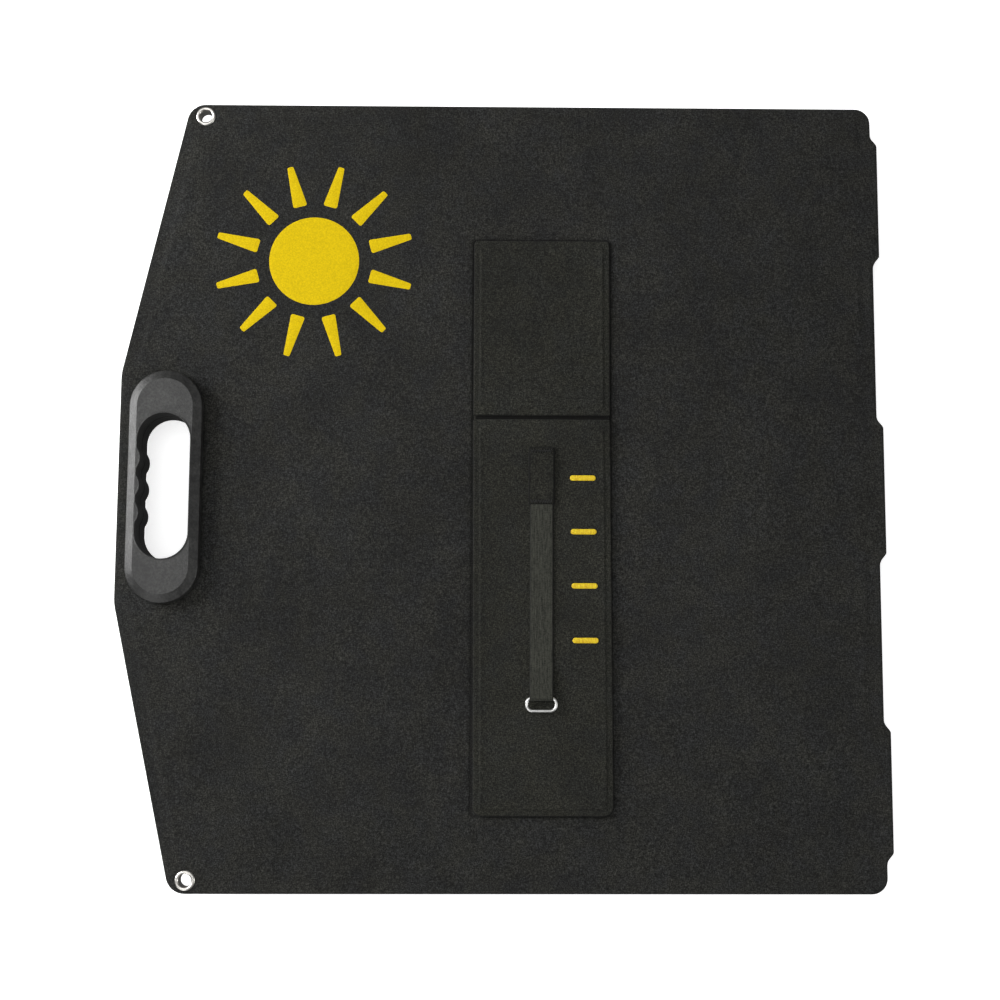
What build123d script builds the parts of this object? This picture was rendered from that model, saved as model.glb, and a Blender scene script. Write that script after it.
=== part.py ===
"""Folding two-panel solar charger, folded shut and lying flat.

The front panel is on top with its fabric back facing up (+Z), and the rear panel is its
mirror image underneath. The carry handles are at -X and the fabric spine that both panels
fold about is at +X. The origin is at the middle of the footprint, on the surface that the
rear handle and the junction box rest on. Millimetres.
"""

import math
import os

from build123d import *

# ---- driving dimensions ---------------------------------------------------------------

# Panel outline: a hexagon with tapered corners on the handle side.
PANEL_HEIGHT = 610.0  # along Y
PANEL_WIDTH = 590.0  # along X, from the handle edge to the outside of the spine
TAPER_RUN = 48.0  # how far the top and bottom edges stop short of the handle edge
HANDLE_EDGE_LENGTH = 177.5  # straight edge beside the handle
TAPER_CORNER_RADIUS = 14.5
HANDLE_EDGE_RADIUS = 45.0
SPINE_CORNER_RADIUS = 12.0

# Layers of one panel, from its fabric back to its solar face.
COVER_THICKNESS = 1.0
BOARD_THICKNESS = 2.6
LAMINATE_THICKNESS = 1.0
FACE_THICKNESS = 1.4  # fabric frame round the solar face, in front of the board
PANEL_GAP = 1.0  # between the two solar faces when folded
BOARD_INSET = 12.0
BODY_GAP = 0.3  # between pieces that move past each other
PART_CLEARANCE = 0.2  # between pieces that are assembled into one body
EDGE_TOLERANCE = 0.01  # for picking edges by their height

# Fabric spine: three tabs with open slots between them.
SPINE_THICKNESS = 1.0
TAB_REACH = 5.0  # how far a tab stands out past the slot floor
MIDDLE_TAB_LENGTH = 99.4
OUTER_TAB_LENGTH = 91.6
OUTER_TAB_FROM_END = 75.5  # from the panel's end to the middle of an outer tab

# Solar face.
CELL_COLUMNS = 3
CELL_ROWS = 7
CELL_SPACING = 3.0
CELL_THICKNESS = 0.3
CELL_BORDER = 6.0  # laminate outside the outer cells
LAMINATE_CORNER_RADIUS = 4.0
FACE_BORDER_HANDLE = 17.25  # fabric between the handle and the laminate
FACE_BORDER_SPINE = 17.0  # fabric between the slot floor and the laminate
FACE_BORDER_END = 20.5  # fabric at the panel's two ends

# Carry handle.
HANDLE_FROM_EDGE = 37.0  # from the handle edge to the middle of the handle
HANDLE_END_MARGIN = 33.5  # shell beyond each end of the grip hole
HANDLE_SIDE_MARGIN = 7.75  # shell at each side of the grip hole
HANDLE_PROTRUSION = 12.0
HANDLE_BEVEL_HEIGHT = 4.0
HANDLE_BEVEL_WIDTH = 6.5
HANDLE_SHOULDER_RADIUS = 1.2  # where the side wall meets the bevel
HANDLE_FACE_RADIUS = 0.8  # where the bevel meets the face
HANDLE_WALL = 3.0
HANDLE_ROOF = 3.0
GRIP_LENGTH = 111.5
GRIP_WIDTH = 40.0
GRIP_RIM_WIDTH = 1.0
GRIP_RIM_HEIGHT = 0.7
GRIP_RIM_RADIUS = 0.3
FINGER_PITCH = 21.0
FINGER_BUMP_RADIUS = 12.0
FINGER_BUMP_HEIGHT = 2.6
FINGER_FILLET = 4.0
HANDLE_PLATE_THICKNESS = 1.2
HANDLE_PLATE_RECESS = 0.1  # how far the plate sits below the solar face
HANDLE_SCREW_FROM_BOSS = 12.25
HANDLE_SCREW_PITCH_X = 18.0
HANDLE_SCREW_RADIUS = 1.5
HANDLE_SCREW_HEAD_RADIUS = 2.8
HANDLE_SCREW_LENGTH = 11.0
HANDLE_POST_RADIUS = 3.6

# Grommets at the two tapered corners.
GROMMET_FROM_TAPER = 12.0
GROMMET_FROM_END = 10.0
GROMMET_BORE_RADIUS = 4.9
GROMMET_BARREL_WALL = 0.6
GROMMET_FLANGE_WIDTH = 2.1  # flange outside the barrel
GROMMET_FLANGE_HEIGHT = 0.9
GROMMET_WASHER_THICKNESS = 0.3
GROMMET_BOARD_MARGIN = 3.0

# Closing magnets in the board, beside the handle.
MAGNET_FROM_EDGE = 53.0
MAGNET_FROM_END = 115.0
MAGNET_RADIUS = 6.0
MAGNET_THICKNESS = 2.0

# Kickstand on the fabric back.
STAND_CENTRE_X = 30.0
STAND_WIDTH = 105.5
STAND_TOP_MARGIN = 110.0  # from the panel's upper end
STAND_CREASE_Y = 55.0
STAND_FOOT_MARGIN = 57.5  # from the panel's lower end
STAND_CREASE_WIDTH = 3.0
STAND_CORNER_RADIUS = 8.0
STAND_BASE_THICKNESS = 2.6
STAND_LEG_THICKNESS = 3.2
STAND_HEM = 5.5  # fabric outside the stiffener
STAND_STIFFENER_THICKNESS = 1.8
STAND_HINGE_THICKNESS = 1.0

# Strap, its sewn anchor patch, the ring on its end, and the angle marks beside it.
STRAP_WIDTH = 17.9
STRAP_THICKNESS = 1.2
STRAP_FROM_CREASE = 68.0  # from the crease to the lower edge of the anchor patch
STRAP_LENGTH = 146.4  # from there to the ring's upper bar
PATCH_SIDE_MARGIN = 0.95  # patch beyond each side of the strap
PATCH_LENGTH = 44.7
PATCH_THICKNESS = 2.0
RING_WIRE_RADIUS = 1.1
RING_CLEARANCE = 0.1
RING_SIDE_CLEARANCE = 1.1  # between the strap's width and the ring's sides
RING_OUTER_LENGTH = 12.1
RING_CORNER_RADIUS = 4.6  # of the wire's centre line
MARK_COUNT = 4
MARK_FROM_STRAP = 20.9  # from the strap's sewn end up to the first mark
MARK_PITCH = 41.4
MARK_OFFSET_X = 31.5
MARK_LENGTH = 19.8
MARK_WIDTH = 4.2
MARK_THICKNESS = 0.5

# Junction box on the back of the rear panel, as high as the handle.
BOX_FROM_SPINE = 90.0
BOX_LENGTH = 110.0  # along Y
BOX_WIDTH = 56.0
BOX_CORNER_RADIUS = 8.0
BOX_WALL = 2.2
BOX_FLOOR = 1.5
BOX_LID_THICKNESS = 2.0
BOX_SEAL_THICKNESS = 0.8
BOX_SCREW_INSET = 7.0
BOX_SCREW_RADIUS = 1.5
BOX_SCREW_HEAD_RADIUS = 2.8
BOX_SCREW_LENGTH = 8.0
BOX_POST_RADIUS = 3.4
TERMINAL_BOARD_LENGTH = 74.0
TERMINAL_BOARD_WIDTH = 34.0
TERMINAL_BOARD_THICKNESS = 1.6
DIODE_RADIUS = 2.4
DIODE_LENGTH = 10.0
DIODE_PITCH = 30.0
CABLE_BORE_RADIUS = 2.5
CABLE_BUSH_CLEARANCE = 0.05  # between its flange and the tray's floor or the seal
CABLE_BUSH_OUTER_LENGTH = 9.0
CABLE_BUSH_INNER_LENGTH = 1.5

# ---- levels and places worked out from them -------------------------------------------

PANEL_THICKNESS = COVER_THICKNESS + BOARD_THICKNESS + FACE_THICKNESS
STACK_THICKNESS = 2 * PANEL_THICKNESS + PANEL_GAP
FOLD_PLANE_Z = HANDLE_PROTRUSION + PANEL_THICKNESS + PANEL_GAP / 2
FACE_Z = FOLD_PLANE_Z + PANEL_GAP / 2  # solar face of the front panel
LAMINATE_Z = FACE_Z + FACE_THICKNESS - LAMINATE_THICKNESS
BOARD_Z = FACE_Z + FACE_THICKNESS
COVER_Z = BOARD_Z + BOARD_THICKNESS
BACK_Z = COVER_Z + COVER_THICKNESS  # fabric back of the front panel
HANDLE_TOP_Z = BACK_Z + HANDLE_PROTRUSION
REAR_BACK_Z = HANDLE_PROTRUSION  # fabric back of the rear panel

HALF_HEIGHT = PANEL_HEIGHT / 2
SPINE_OUTER_X = PANEL_WIDTH / 2
SPINE_INNER_X = SPINE_OUTER_X - SPINE_THICKNESS
SLOT_FLOOR_X = SPINE_OUTER_X - TAB_REACH
TAB_END_X = SPINE_INNER_X - BODY_GAP
HANDLE_EDGE_X = -PANEL_WIDTH / 2
TAPER_CORNER_X = HANDLE_EDGE_X + TAPER_RUN

# A slot is round-ended in the flat fabric, centred on the middle of the spine.
SLOT_RADIUS = TAB_REACH + STACK_THICKNESS / 2
SLOT_CENTRE_X = SLOT_FLOOR_X + SLOT_RADIUS
SLOT_END_RUN = math.sqrt(SLOT_RADIUS**2 - (STACK_THICKNESS / 2) ** 2)
OUTER_TAB_CENTRE = HALF_HEIGHT - OUTER_TAB_FROM_END
INNER_SLOT_LOW_Y = MIDDLE_TAB_LENGTH / 2 + SLOT_END_RUN
INNER_SLOT_HIGH_Y = OUTER_TAB_CENTRE - OUTER_TAB_LENGTH / 2 - SLOT_END_RUN
CORNER_SLOT_LOW_Y = OUTER_TAB_CENTRE + OUTER_TAB_LENGTH / 2 + SLOT_END_RUN
CORNER_SLOT_HIGH_Y = HALF_HEIGHT + SLOT_RADIUS
SLOT_SPANS = [
    (INNER_SLOT_LOW_Y, INNER_SLOT_HIGH_Y),
    (CORNER_SLOT_LOW_Y, CORNER_SLOT_HIGH_Y),
    (-INNER_SLOT_HIGH_Y, -INNER_SLOT_LOW_Y),
    (-CORNER_SLOT_HIGH_Y, -CORNER_SLOT_LOW_Y),
]

HANDLE_CENTRE_X = HANDLE_EDGE_X + HANDLE_FROM_EDGE
HANDLE_LENGTH = GRIP_LENGTH + 2 * HANDLE_END_MARGIN
HANDLE_WIDTH = GRIP_WIDTH + 2 * HANDLE_SIDE_MARGIN
GRIP_STRAIGHT = GRIP_LENGTH - GRIP_WIDTH
FINGER_BUMP_COUNT = int(GRIP_STRAIGHT // FINGER_PITCH)
FINGER_BUMP_PLACES = [
    (step - (FINGER_BUMP_COUNT - 1) / 2) * FINGER_PITCH for step in range(FINGER_BUMP_COUNT)
]
BOSS_LENGTH = GRIP_LENGTH + 2 * HANDLE_WALL
BOSS_WIDTH = GRIP_WIDTH + 2 * HANDLE_WALL
PLATE_Z = FACE_Z + HANDLE_PLATE_RECESS

# The laminate fills the solar face, and the cells fill the laminate.
LAMINATE_LOW_X = HANDLE_CENTRE_X + HANDLE_WIDTH / 2 + FACE_BORDER_HANDLE
LAMINATE_WIDTH = SLOT_FLOOR_X - FACE_BORDER_SPINE - LAMINATE_LOW_X
LAMINATE_HEIGHT = PANEL_HEIGHT - 2 * FACE_BORDER_END
LAMINATE_CENTRE_X = LAMINATE_LOW_X + LAMINATE_WIDTH / 2
CELL_PITCH_X = (LAMINATE_WIDTH - 2 * CELL_BORDER + CELL_SPACING) / CELL_COLUMNS
CELL_PITCH_Y = (LAMINATE_HEIGHT - 2 * CELL_BORDER + CELL_SPACING) / CELL_ROWS

LEG_Z = BACK_Z + BODY_GAP
LEG_TOP_Z = LEG_Z + STAND_LEG_THICKNESS
LEG_TOP_Y = STAND_CREASE_Y - STAND_CREASE_WIDTH / 2
STAND_FOOT_Y = STAND_FOOT_MARGIN - HALF_HEIGHT
LEG_LENGTH = LEG_TOP_Y - STAND_FOOT_Y
BASE_LOW_Y = STAND_CREASE_Y + STAND_CREASE_WIDTH / 2
BASE_LENGTH = HALF_HEIGHT - STAND_TOP_MARGIN - BASE_LOW_Y
STRAP_Z = LEG_TOP_Z + BODY_GAP
STRAP_TOP_Y = STAND_CREASE_Y - STRAP_FROM_CREASE
STRAP_HINGE_Y = STRAP_TOP_Y - BODY_GAP - STRAP_THICKNESS / 2
RING_BAR_Y = STRAP_TOP_Y - STRAP_LENGTH
PATCH_WIDTH = STRAP_WIDTH + 2 * PATCH_SIDE_MARGIN
RING_OUTER_WIDTH = STRAP_WIDTH + 2 * (RING_SIDE_CLEARANCE + 2 * RING_WIRE_RADIUS)
EYE_RADIUS = RING_WIRE_RADIUS + RING_CLEARANCE + STRAP_THICKNESS
RING_Z = STRAP_Z + EYE_RADIUS
RING_BAR_LENGTH = RING_OUTER_WIDTH - 2 * RING_WIRE_RADIUS - 2 * RING_CORNER_RADIUS
EYE_WIDTH = RING_BAR_LENGTH - 2 * BODY_GAP

BOX_SEAL_Z = BOX_LID_THICKNESS
BOX_WALL_Z = BOX_SEAL_Z + BOX_SEAL_THICKNESS
BOX_INSIDE_Z = REAR_BACK_Z - BOX_FLOOR
BOX_CENTRE_X = SPINE_OUTER_X - BOX_FROM_SPINE
CABLE_Z = (BOX_WALL_Z + BOX_INSIDE_Z) / 2
CABLE_BUSH_FLANGE_RADIUS = (BOX_INSIDE_Z - BOX_WALL_Z) / 2 - CABLE_BUSH_CLEARANCE
CABLE_BUSH_WALL_RADIUS = (CABLE_BUSH_FLANGE_RADIUS + CABLE_BORE_RADIUS) / 2

GROMMET_BARREL_RADIUS = GROMMET_BORE_RADIUS + GROMMET_BARREL_WALL
GROMMET_FLANGE_RADIUS = GROMMET_BARREL_RADIUS + GROMMET_FLANGE_WIDTH
GROMMET_PLACES = [
    (TAPER_CORNER_X + GROMMET_FROM_TAPER, y * (HALF_HEIGHT - GROMMET_FROM_END)) for y in (-1, 1)
]
MAGNET_PLACES = [
    (HANDLE_EDGE_X + MAGNET_FROM_EDGE, y * (HALF_HEIGHT - MAGNET_FROM_END)) for y in (-1, 1)
]
HANDLE_SCREW_PLACES = [
    (
        HANDLE_CENTRE_X + x * HANDLE_SCREW_PITCH_X / 2,
        y * (BOSS_LENGTH / 2 + HANDLE_SCREW_FROM_BOSS),
    )
    for x in (-1, 1)
    for y in (-1, 1)
]
BOX_SCREW_PLACES = [
    (
        BOX_CENTRE_X + x * (BOX_WIDTH / 2 - BOX_SCREW_INSET),
        y * (BOX_LENGTH / 2 - BOX_SCREW_INSET),
    )
    for x in (-1, 1)
    for y in (-1, 1)
]

# ---- shared outlines --------------------------------------------------------------------


def panel_outline(inset=0.0):
    """The hexagonal panel out to the slot floor, moved in by an inset."""
    edge_y = HANDLE_EDGE_LENGTH / 2
    with BuildSketch(mode=Mode.PRIVATE) as outline:
        with BuildLine():
            FilletPolyline(
                (SLOT_FLOOR_X, -HALF_HEIGHT),
                (SLOT_FLOOR_X, HALF_HEIGHT),
                (TAPER_CORNER_X, HALF_HEIGHT),
                (HANDLE_EDGE_X, edge_y),
                (HANDLE_EDGE_X, -edge_y),
                (TAPER_CORNER_X, -HALF_HEIGHT),
                radius=[
                    SPINE_CORNER_RADIUS,
                    SPINE_CORNER_RADIUS,
                    TAPER_CORNER_RADIUS,
                    HANDLE_EDGE_RADIUS,
                    HANDLE_EDGE_RADIUS,
                    TAPER_CORNER_RADIUS,
                ],
                close=True,
            )
        make_face()
        if inset:
            offset(amount=-inset)
    return outline.sketch


def board_outline():
    """The stiffener board: inset from the hem and cut clear of the grommets."""
    with BuildSketch(mode=Mode.PRIVATE) as outline:
        add(panel_outline(BOARD_INSET))
        with Locations(*GROMMET_PLACES):
            Circle(GROMMET_FLANGE_RADIUS + GROMMET_BOARD_MARGIN, mode=Mode.SUBTRACT)
    return outline.sketch


def handle_slot(length, width):
    """A round-ended shape along Y, centred on the handle."""
    with BuildSketch(mode=Mode.PRIVATE) as shape:
        with Locations((HANDLE_CENTRE_X, 0)):
            SlotOverall(length, width, rotation=90)
    return shape.sketch


def grip_outline():
    """The grip hole, with finger bumps along its outer wall."""
    wall_x = HANDLE_CENTRE_X - GRIP_WIDTH / 2
    with BuildSketch(mode=Mode.PRIVATE) as shape:
        add(handle_slot(GRIP_LENGTH, GRIP_WIDTH))
        for bump_y in FINGER_BUMP_PLACES:
            with Locations((wall_x - FINGER_BUMP_RADIUS + FINGER_BUMP_HEIGHT, bump_y)):
                Circle(FINGER_BUMP_RADIUS, mode=Mode.SUBTRACT)
        on_wall = shape.vertices().filter_by_position(
            Axis.X, wall_x - EDGE_TOLERANCE, wall_x + EDGE_TOLERANCE
        )
        bump_feet = on_wall.filter_by_position(
            Axis.Y, EDGE_TOLERANCE - GRIP_STRAIGHT / 2, GRIP_STRAIGHT / 2 - EDGE_TOLERANCE
        )
        fillet(bump_feet, FINGER_FILLET)
    return shape.sketch


def box_outline(inset=0.0):
    """The junction box seen from above, moved in by an inset."""
    with BuildSketch(mode=Mode.PRIVATE) as shape:
        with Locations((BOX_CENTRE_X, 0)):
            RectangleRounded(
                BOX_WIDTH - 2 * inset, BOX_LENGTH - 2 * inset, BOX_CORNER_RADIUS - inset
            )
    return shape.sketch


# ---- front panel: layers ------------------------------------------------------------------

# Fabric back, with the half of each tab that lies in the panel's plane.
with BuildPart() as cover:
    with BuildSketch(Plane.XY.offset(COVER_Z)):
        add(panel_outline())
        with Locations(((SLOT_FLOOR_X - TAB_REACH + TAB_END_X) / 2, 0)):
            Rectangle(TAB_END_X - SLOT_FLOOR_X + TAB_REACH, 2 * CORNER_SLOT_LOW_Y)
        for low, high in SLOT_SPANS:
            with Locations((SLOT_CENTRE_X, (low + high) / 2)):
                SlotCenterToCenter(
                    high - low, 2 * SLOT_RADIUS, rotation=90, mode=Mode.SUBTRACT
                )
        add(
            handle_slot(BOSS_LENGTH + 2 * PART_CLEARANCE, BOSS_WIDTH + 2 * PART_CLEARANCE),
            mode=Mode.SUBTRACT,
        )
        with Locations(*GROMMET_PLACES):
            Circle(GROMMET_BARREL_RADIUS, mode=Mode.SUBTRACT)
        with Locations(*HANDLE_SCREW_PLACES):
            Circle(HANDLE_SCREW_RADIUS + PART_CLEARANCE, mode=Mode.SUBTRACT)
    extrude(amount=COVER_THICKNESS)

# Stiffener board inside the hem, with pockets for the closing magnets.
with BuildPart() as board:
    with BuildSketch(Plane.XY.offset(BOARD_Z)):
        add(board_outline())
        add(
            handle_slot(BOSS_LENGTH + 2 * PART_CLEARANCE, BOSS_WIDTH + 2 * PART_CLEARANCE),
            mode=Mode.SUBTRACT,
        )
        with Locations(*HANDLE_SCREW_PLACES):
            Circle(HANDLE_SCREW_RADIUS + PART_CLEARANCE, mode=Mode.SUBTRACT)
    extrude(amount=BOARD_THICKNESS)
    with BuildSketch(Plane.XY.offset(BOARD_Z)):
        with Locations(*MAGNET_PLACES):
            Circle(MAGNET_RADIUS + PART_CLEARANCE)
    extrude(amount=MAGNET_THICKNESS, mode=Mode.SUBTRACT)

# Fabric frame: the hem round the board, and the face in front of it with its two windows.
with BuildPart() as face_frame:
    with BuildSketch(Plane.XY.offset(FACE_Z)):
        add(panel_outline())
        with Locations((LAMINATE_CENTRE_X, 0)):
            RectangleRounded(
                LAMINATE_WIDTH, LAMINATE_HEIGHT, LAMINATE_CORNER_RADIUS, mode=Mode.SUBTRACT
            )
        add(
            handle_slot(HANDLE_LENGTH + 2 * PART_CLEARANCE, HANDLE_WIDTH + 2 * PART_CLEARANCE),
            mode=Mode.SUBTRACT,
        )
        with Locations(*GROMMET_PLACES):
            Circle(GROMMET_BARREL_RADIUS, mode=Mode.SUBTRACT)
    extrude(amount=FACE_THICKNESS)
    with BuildSketch(Plane.XY.offset(BOARD_Z)):
        add(panel_outline())
        add(board_outline(), mode=Mode.SUBTRACT)
        with Locations(*GROMMET_PLACES):
            Circle(GROMMET_BARREL_RADIUS, mode=Mode.SUBTRACT)
    extrude(amount=BOARD_THICKNESS)

with BuildPart() as laminate:
    with BuildSketch(Plane.XY.offset(LAMINATE_Z)):
        with Locations((LAMINATE_CENTRE_X, 0)):
            RectangleRounded(LAMINATE_WIDTH, LAMINATE_HEIGHT, LAMINATE_CORNER_RADIUS)
    extrude(amount=LAMINATE_THICKNESS)

# The cells lie on the laminate's face as one group of separate plates.
with BuildPart() as cells:
    with BuildSketch(Plane.XY.offset(LAMINATE_Z)):
        with Locations((LAMINATE_CENTRE_X, 0)):
            with GridLocations(CELL_PITCH_X, CELL_PITCH_Y, CELL_COLUMNS, CELL_ROWS):
                Rectangle(CELL_PITCH_X - CELL_SPACING, CELL_PITCH_Y - CELL_SPACING)
    extrude(amount=-CELL_THICKNESS)

with BuildPart() as magnets:
    with BuildSketch(Plane.XY.offset(BOARD_Z)):
        with Locations(*MAGNET_PLACES):
            Circle(MAGNET_RADIUS)
    extrude(amount=MAGNET_THICKNESS)

# ---- front panel: handle and grommets ------------------------------------------------------

# Moulded outer shell: a hollow stadium with a bevelled edge and a grip tube through the panel.
with BuildPart() as handle_shell:
    with BuildSketch(Plane.XY.offset(BACK_Z)):
        add(handle_slot(HANDLE_LENGTH, HANDLE_WIDTH))
    extrude(amount=HANDLE_PROTRUSION - HANDLE_BEVEL_HEIGHT)
    with BuildSketch(Plane.XY.offset(HANDLE_TOP_Z - HANDLE_BEVEL_HEIGHT)):
        add(handle_slot(HANDLE_LENGTH, HANDLE_WIDTH))
    with BuildSketch(Plane.XY.offset(HANDLE_TOP_Z - GRIP_RIM_HEIGHT)):
        add(
            handle_slot(
                HANDLE_LENGTH - 2 * HANDLE_BEVEL_WIDTH, HANDLE_WIDTH - 2 * HANDLE_BEVEL_WIDTH
            )
        )
    loft()
    for edge_z, edge_radius in (
        (HANDLE_TOP_Z - HANDLE_BEVEL_HEIGHT, HANDLE_SHOULDER_RADIUS),
        (HANDLE_TOP_Z - GRIP_RIM_HEIGHT, HANDLE_FACE_RADIUS),
    ):
        ring_edges = handle_shell.edges().filter_by_position(
            Axis.Z, edge_z - EDGE_TOLERANCE, edge_z + EDGE_TOLERANCE
        )
        fillet(ring_edges, edge_radius)
    with BuildSketch(Plane.XY.offset(BACK_Z)):
        add(handle_slot(HANDLE_LENGTH - 2 * HANDLE_WALL, HANDLE_WIDTH - 2 * HANDLE_WALL))
        add(handle_slot(BOSS_LENGTH, BOSS_WIDTH), mode=Mode.SUBTRACT)
        with Locations(*HANDLE_SCREW_PLACES):
            Circle(HANDLE_POST_RADIUS, mode=Mode.SUBTRACT)
    extrude(
        amount=HANDLE_PROTRUSION - HANDLE_BEVEL_HEIGHT - HANDLE_ROOF + HANDLE_WALL / 2,
        mode=Mode.SUBTRACT,
    )
    with BuildSketch(Plane.XY.offset(PLATE_Z + HANDLE_PLATE_THICKNESS)):
        add(handle_slot(BOSS_LENGTH, BOSS_WIDTH))
    extrude(amount=BACK_Z - PLATE_Z - HANDLE_PLATE_THICKNESS)
    with BuildSketch(Plane.XY.offset(HANDLE_TOP_Z - GRIP_RIM_HEIGHT)):
        add(grip_outline())
        offset(amount=GRIP_RIM_WIDTH)
    extrude(amount=GRIP_RIM_HEIGHT)
    with BuildSketch(Plane.XY.offset(FACE_Z)):
        add(grip_outline())
    extrude(amount=HANDLE_TOP_Z - FACE_Z, mode=Mode.SUBTRACT)
    fillet(handle_shell.edges().group_by(Axis.Z)[-1], GRIP_RIM_RADIUS)
    with BuildSketch(Plane.XY.offset(BACK_Z)):
        with Locations(*HANDLE_SCREW_PLACES):
            Circle(HANDLE_SCREW_RADIUS)
    extrude(amount=HANDLE_SCREW_LENGTH - (BACK_Z - PLATE_Z), mode=Mode.SUBTRACT)

# Plate let into the solar face, which the screws pull against the board.
with BuildPart() as handle_plate:
    with BuildSketch(Plane.XY.offset(PLATE_Z)):
        add(handle_slot(HANDLE_LENGTH, HANDLE_WIDTH))
        add(grip_outline(), mode=Mode.SUBTRACT)
    extrude(amount=HANDLE_PLATE_THICKNESS)
    for place in HANDLE_SCREW_PLACES:
        with Locations(Plane(origin=(*place, PLATE_Z), z_dir=(0, 0, -1))):
            CounterSinkHole(
                HANDLE_SCREW_RADIUS, HANDLE_SCREW_HEAD_RADIUS, HANDLE_PLATE_THICKNESS
            )

with BuildPart() as handle_screws:
    for place in HANDLE_SCREW_PLACES:
        with BuildSketch(Plane(origin=(*place, PLATE_Z), x_dir=(1, 0, 0), z_dir=(0, -1, 0))):
            with BuildLine():
                Polyline(
                    (0, 0),
                    (HANDLE_SCREW_HEAD_RADIUS, 0),
                    (HANDLE_SCREW_RADIUS, HANDLE_SCREW_HEAD_RADIUS - HANDLE_SCREW_RADIUS),
                    (HANDLE_SCREW_RADIUS, HANDLE_SCREW_LENGTH),
                    (0, HANDLE_SCREW_LENGTH),
                    close=True,
                )
            make_face()
        revolve(axis=Axis((*place, 0), (0, 0, 1)))

# A grommet is a barrel through the panel, with a domed flange outside and a washer inside.
with BuildPart() as grommets:
    for place in GROMMET_PLACES:
        with BuildSketch(Plane(origin=(*place, 0), x_dir=(1, 0, 0), z_dir=(0, -1, 0))):
            with BuildLine():
                crown = (
                    (GROMMET_BORE_RADIUS + GROMMET_FLANGE_RADIUS) / 2,
                    BACK_Z + GROMMET_FLANGE_HEIGHT,
                )
                inside = Polyline(
                    (GROMMET_FLANGE_RADIUS, BACK_Z),
                    (GROMMET_BARREL_RADIUS, BACK_Z),
                    (GROMMET_BARREL_RADIUS, FACE_Z),
                    (GROMMET_FLANGE_RADIUS, FACE_Z),
                    (GROMMET_FLANGE_RADIUS, FACE_Z - GROMMET_WASHER_THICKNESS),
                    (GROMMET_BORE_RADIUS, FACE_Z - GROMMET_WASHER_THICKNESS),
                    (GROMMET_BORE_RADIUS, BACK_Z),
                )
                ThreePointArc(inside @ 1, crown, inside @ 0)
            make_face()
        revolve(axis=Axis((*place, 0), (0, 0, 1)))

# ---- front panel: kickstand --------------------------------------------------------------------


def stand_plate(level, low_y, length, thickness, hem, corner_radius):
    """A sheet of the kickstand's width, less a hem on every side."""
    with BuildPart(mode=Mode.PRIVATE) as plate:
        with BuildSketch(Plane.XY.offset(level)):
            with Locations((STAND_CENTRE_X, low_y + length / 2)):
                RectangleRounded(STAND_WIDTH - 2 * hem, length - 2 * hem, corner_radius)
        extrude(amount=thickness)
    return plate.part


STIFFENER_CORNER_RADIUS = STAND_CORNER_RADIUS - STAND_HEM

# Upper section, sewn to the fabric back, and the stiffener in its pocket.
with BuildPart() as stand_base:
    add(stand_plate(BACK_Z, BASE_LOW_Y, BASE_LENGTH, STAND_BASE_THICKNESS, 0, STIFFENER_CORNER_RADIUS))
    add(
        stand_plate(
            BACK_Z,
            BASE_LOW_Y,
            BASE_LENGTH,
            STAND_STIFFENER_THICKNESS,
            STAND_HEM,
            STIFFENER_CORNER_RADIUS / 2,
        ),
        mode=Mode.SUBTRACT,
    )

with BuildPart() as stand_base_stiffener:
    add(
        stand_plate(
            BACK_Z,
            BASE_LOW_Y,
            BASE_LENGTH,
            STAND_STIFFENER_THICKNESS,
            STAND_HEM,
            STIFFENER_CORNER_RADIUS / 2,
        )
    )

# Leg: the same sandwich, hinged at the crease by a strip of its own fabric.
with BuildPart() as stand_leg:
    with BuildSketch(Plane.XY.offset(LEG_Z)):
        with BuildLine():
            left = STAND_CENTRE_X - STAND_WIDTH / 2
            right = STAND_CENTRE_X + STAND_WIDTH / 2
            FilletPolyline(
                (left, LEG_TOP_Y),
                (left, STAND_FOOT_Y),
                (right, STAND_FOOT_Y),
                (right, LEG_TOP_Y),
                radius=STAND_CORNER_RADIUS,
            )
            Line((right, LEG_TOP_Y), (left, LEG_TOP_Y))
        make_face()
    extrude(amount=STAND_LEG_THICKNESS)
    add(
        stand_plate(
            LEG_Z,
            STAND_FOOT_Y,
            LEG_LENGTH,
            STAND_STIFFENER_THICKNESS,
            STAND_HEM,
            STIFFENER_CORNER_RADIUS,
        ),
        mode=Mode.SUBTRACT,
    )
    with BuildSketch(Plane.YZ.offset(left)):
        hinge_radius = STAND_HINGE_THICKNESS / 2
        with Locations((STAND_CREASE_Y, LEG_Z + hinge_radius)):
            Circle(hinge_radius)
        with Locations(((LEG_TOP_Y + STAND_CREASE_Y) / 2, LEG_Z + hinge_radius)):
            Rectangle(STAND_CREASE_WIDTH / 2, STAND_HINGE_THICKNESS)
    extrude(amount=STAND_WIDTH)

with BuildPart() as stand_leg_stiffener:
    add(
        stand_plate(
            LEG_Z,
            STAND_FOOT_Y,
            LEG_LENGTH,
            STAND_STIFFENER_THICKNESS,
            STAND_HEM,
            STIFFENER_CORNER_RADIUS,
        )
    )

with BuildPart() as strap_patch:
    with BuildSketch(Plane.XY.offset(LEG_TOP_Z)):
        with Locations((STAND_CENTRE_X, STRAP_TOP_Y + PATCH_LENGTH / 2)):
            Rectangle(PATCH_WIDTH, PATCH_LENGTH)
    extrude(amount=PATCH_THICKNESS)
    fillet(strap_patch.edges().group_by(Axis.Z)[-1], PATCH_THICKNESS / 4)

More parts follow.
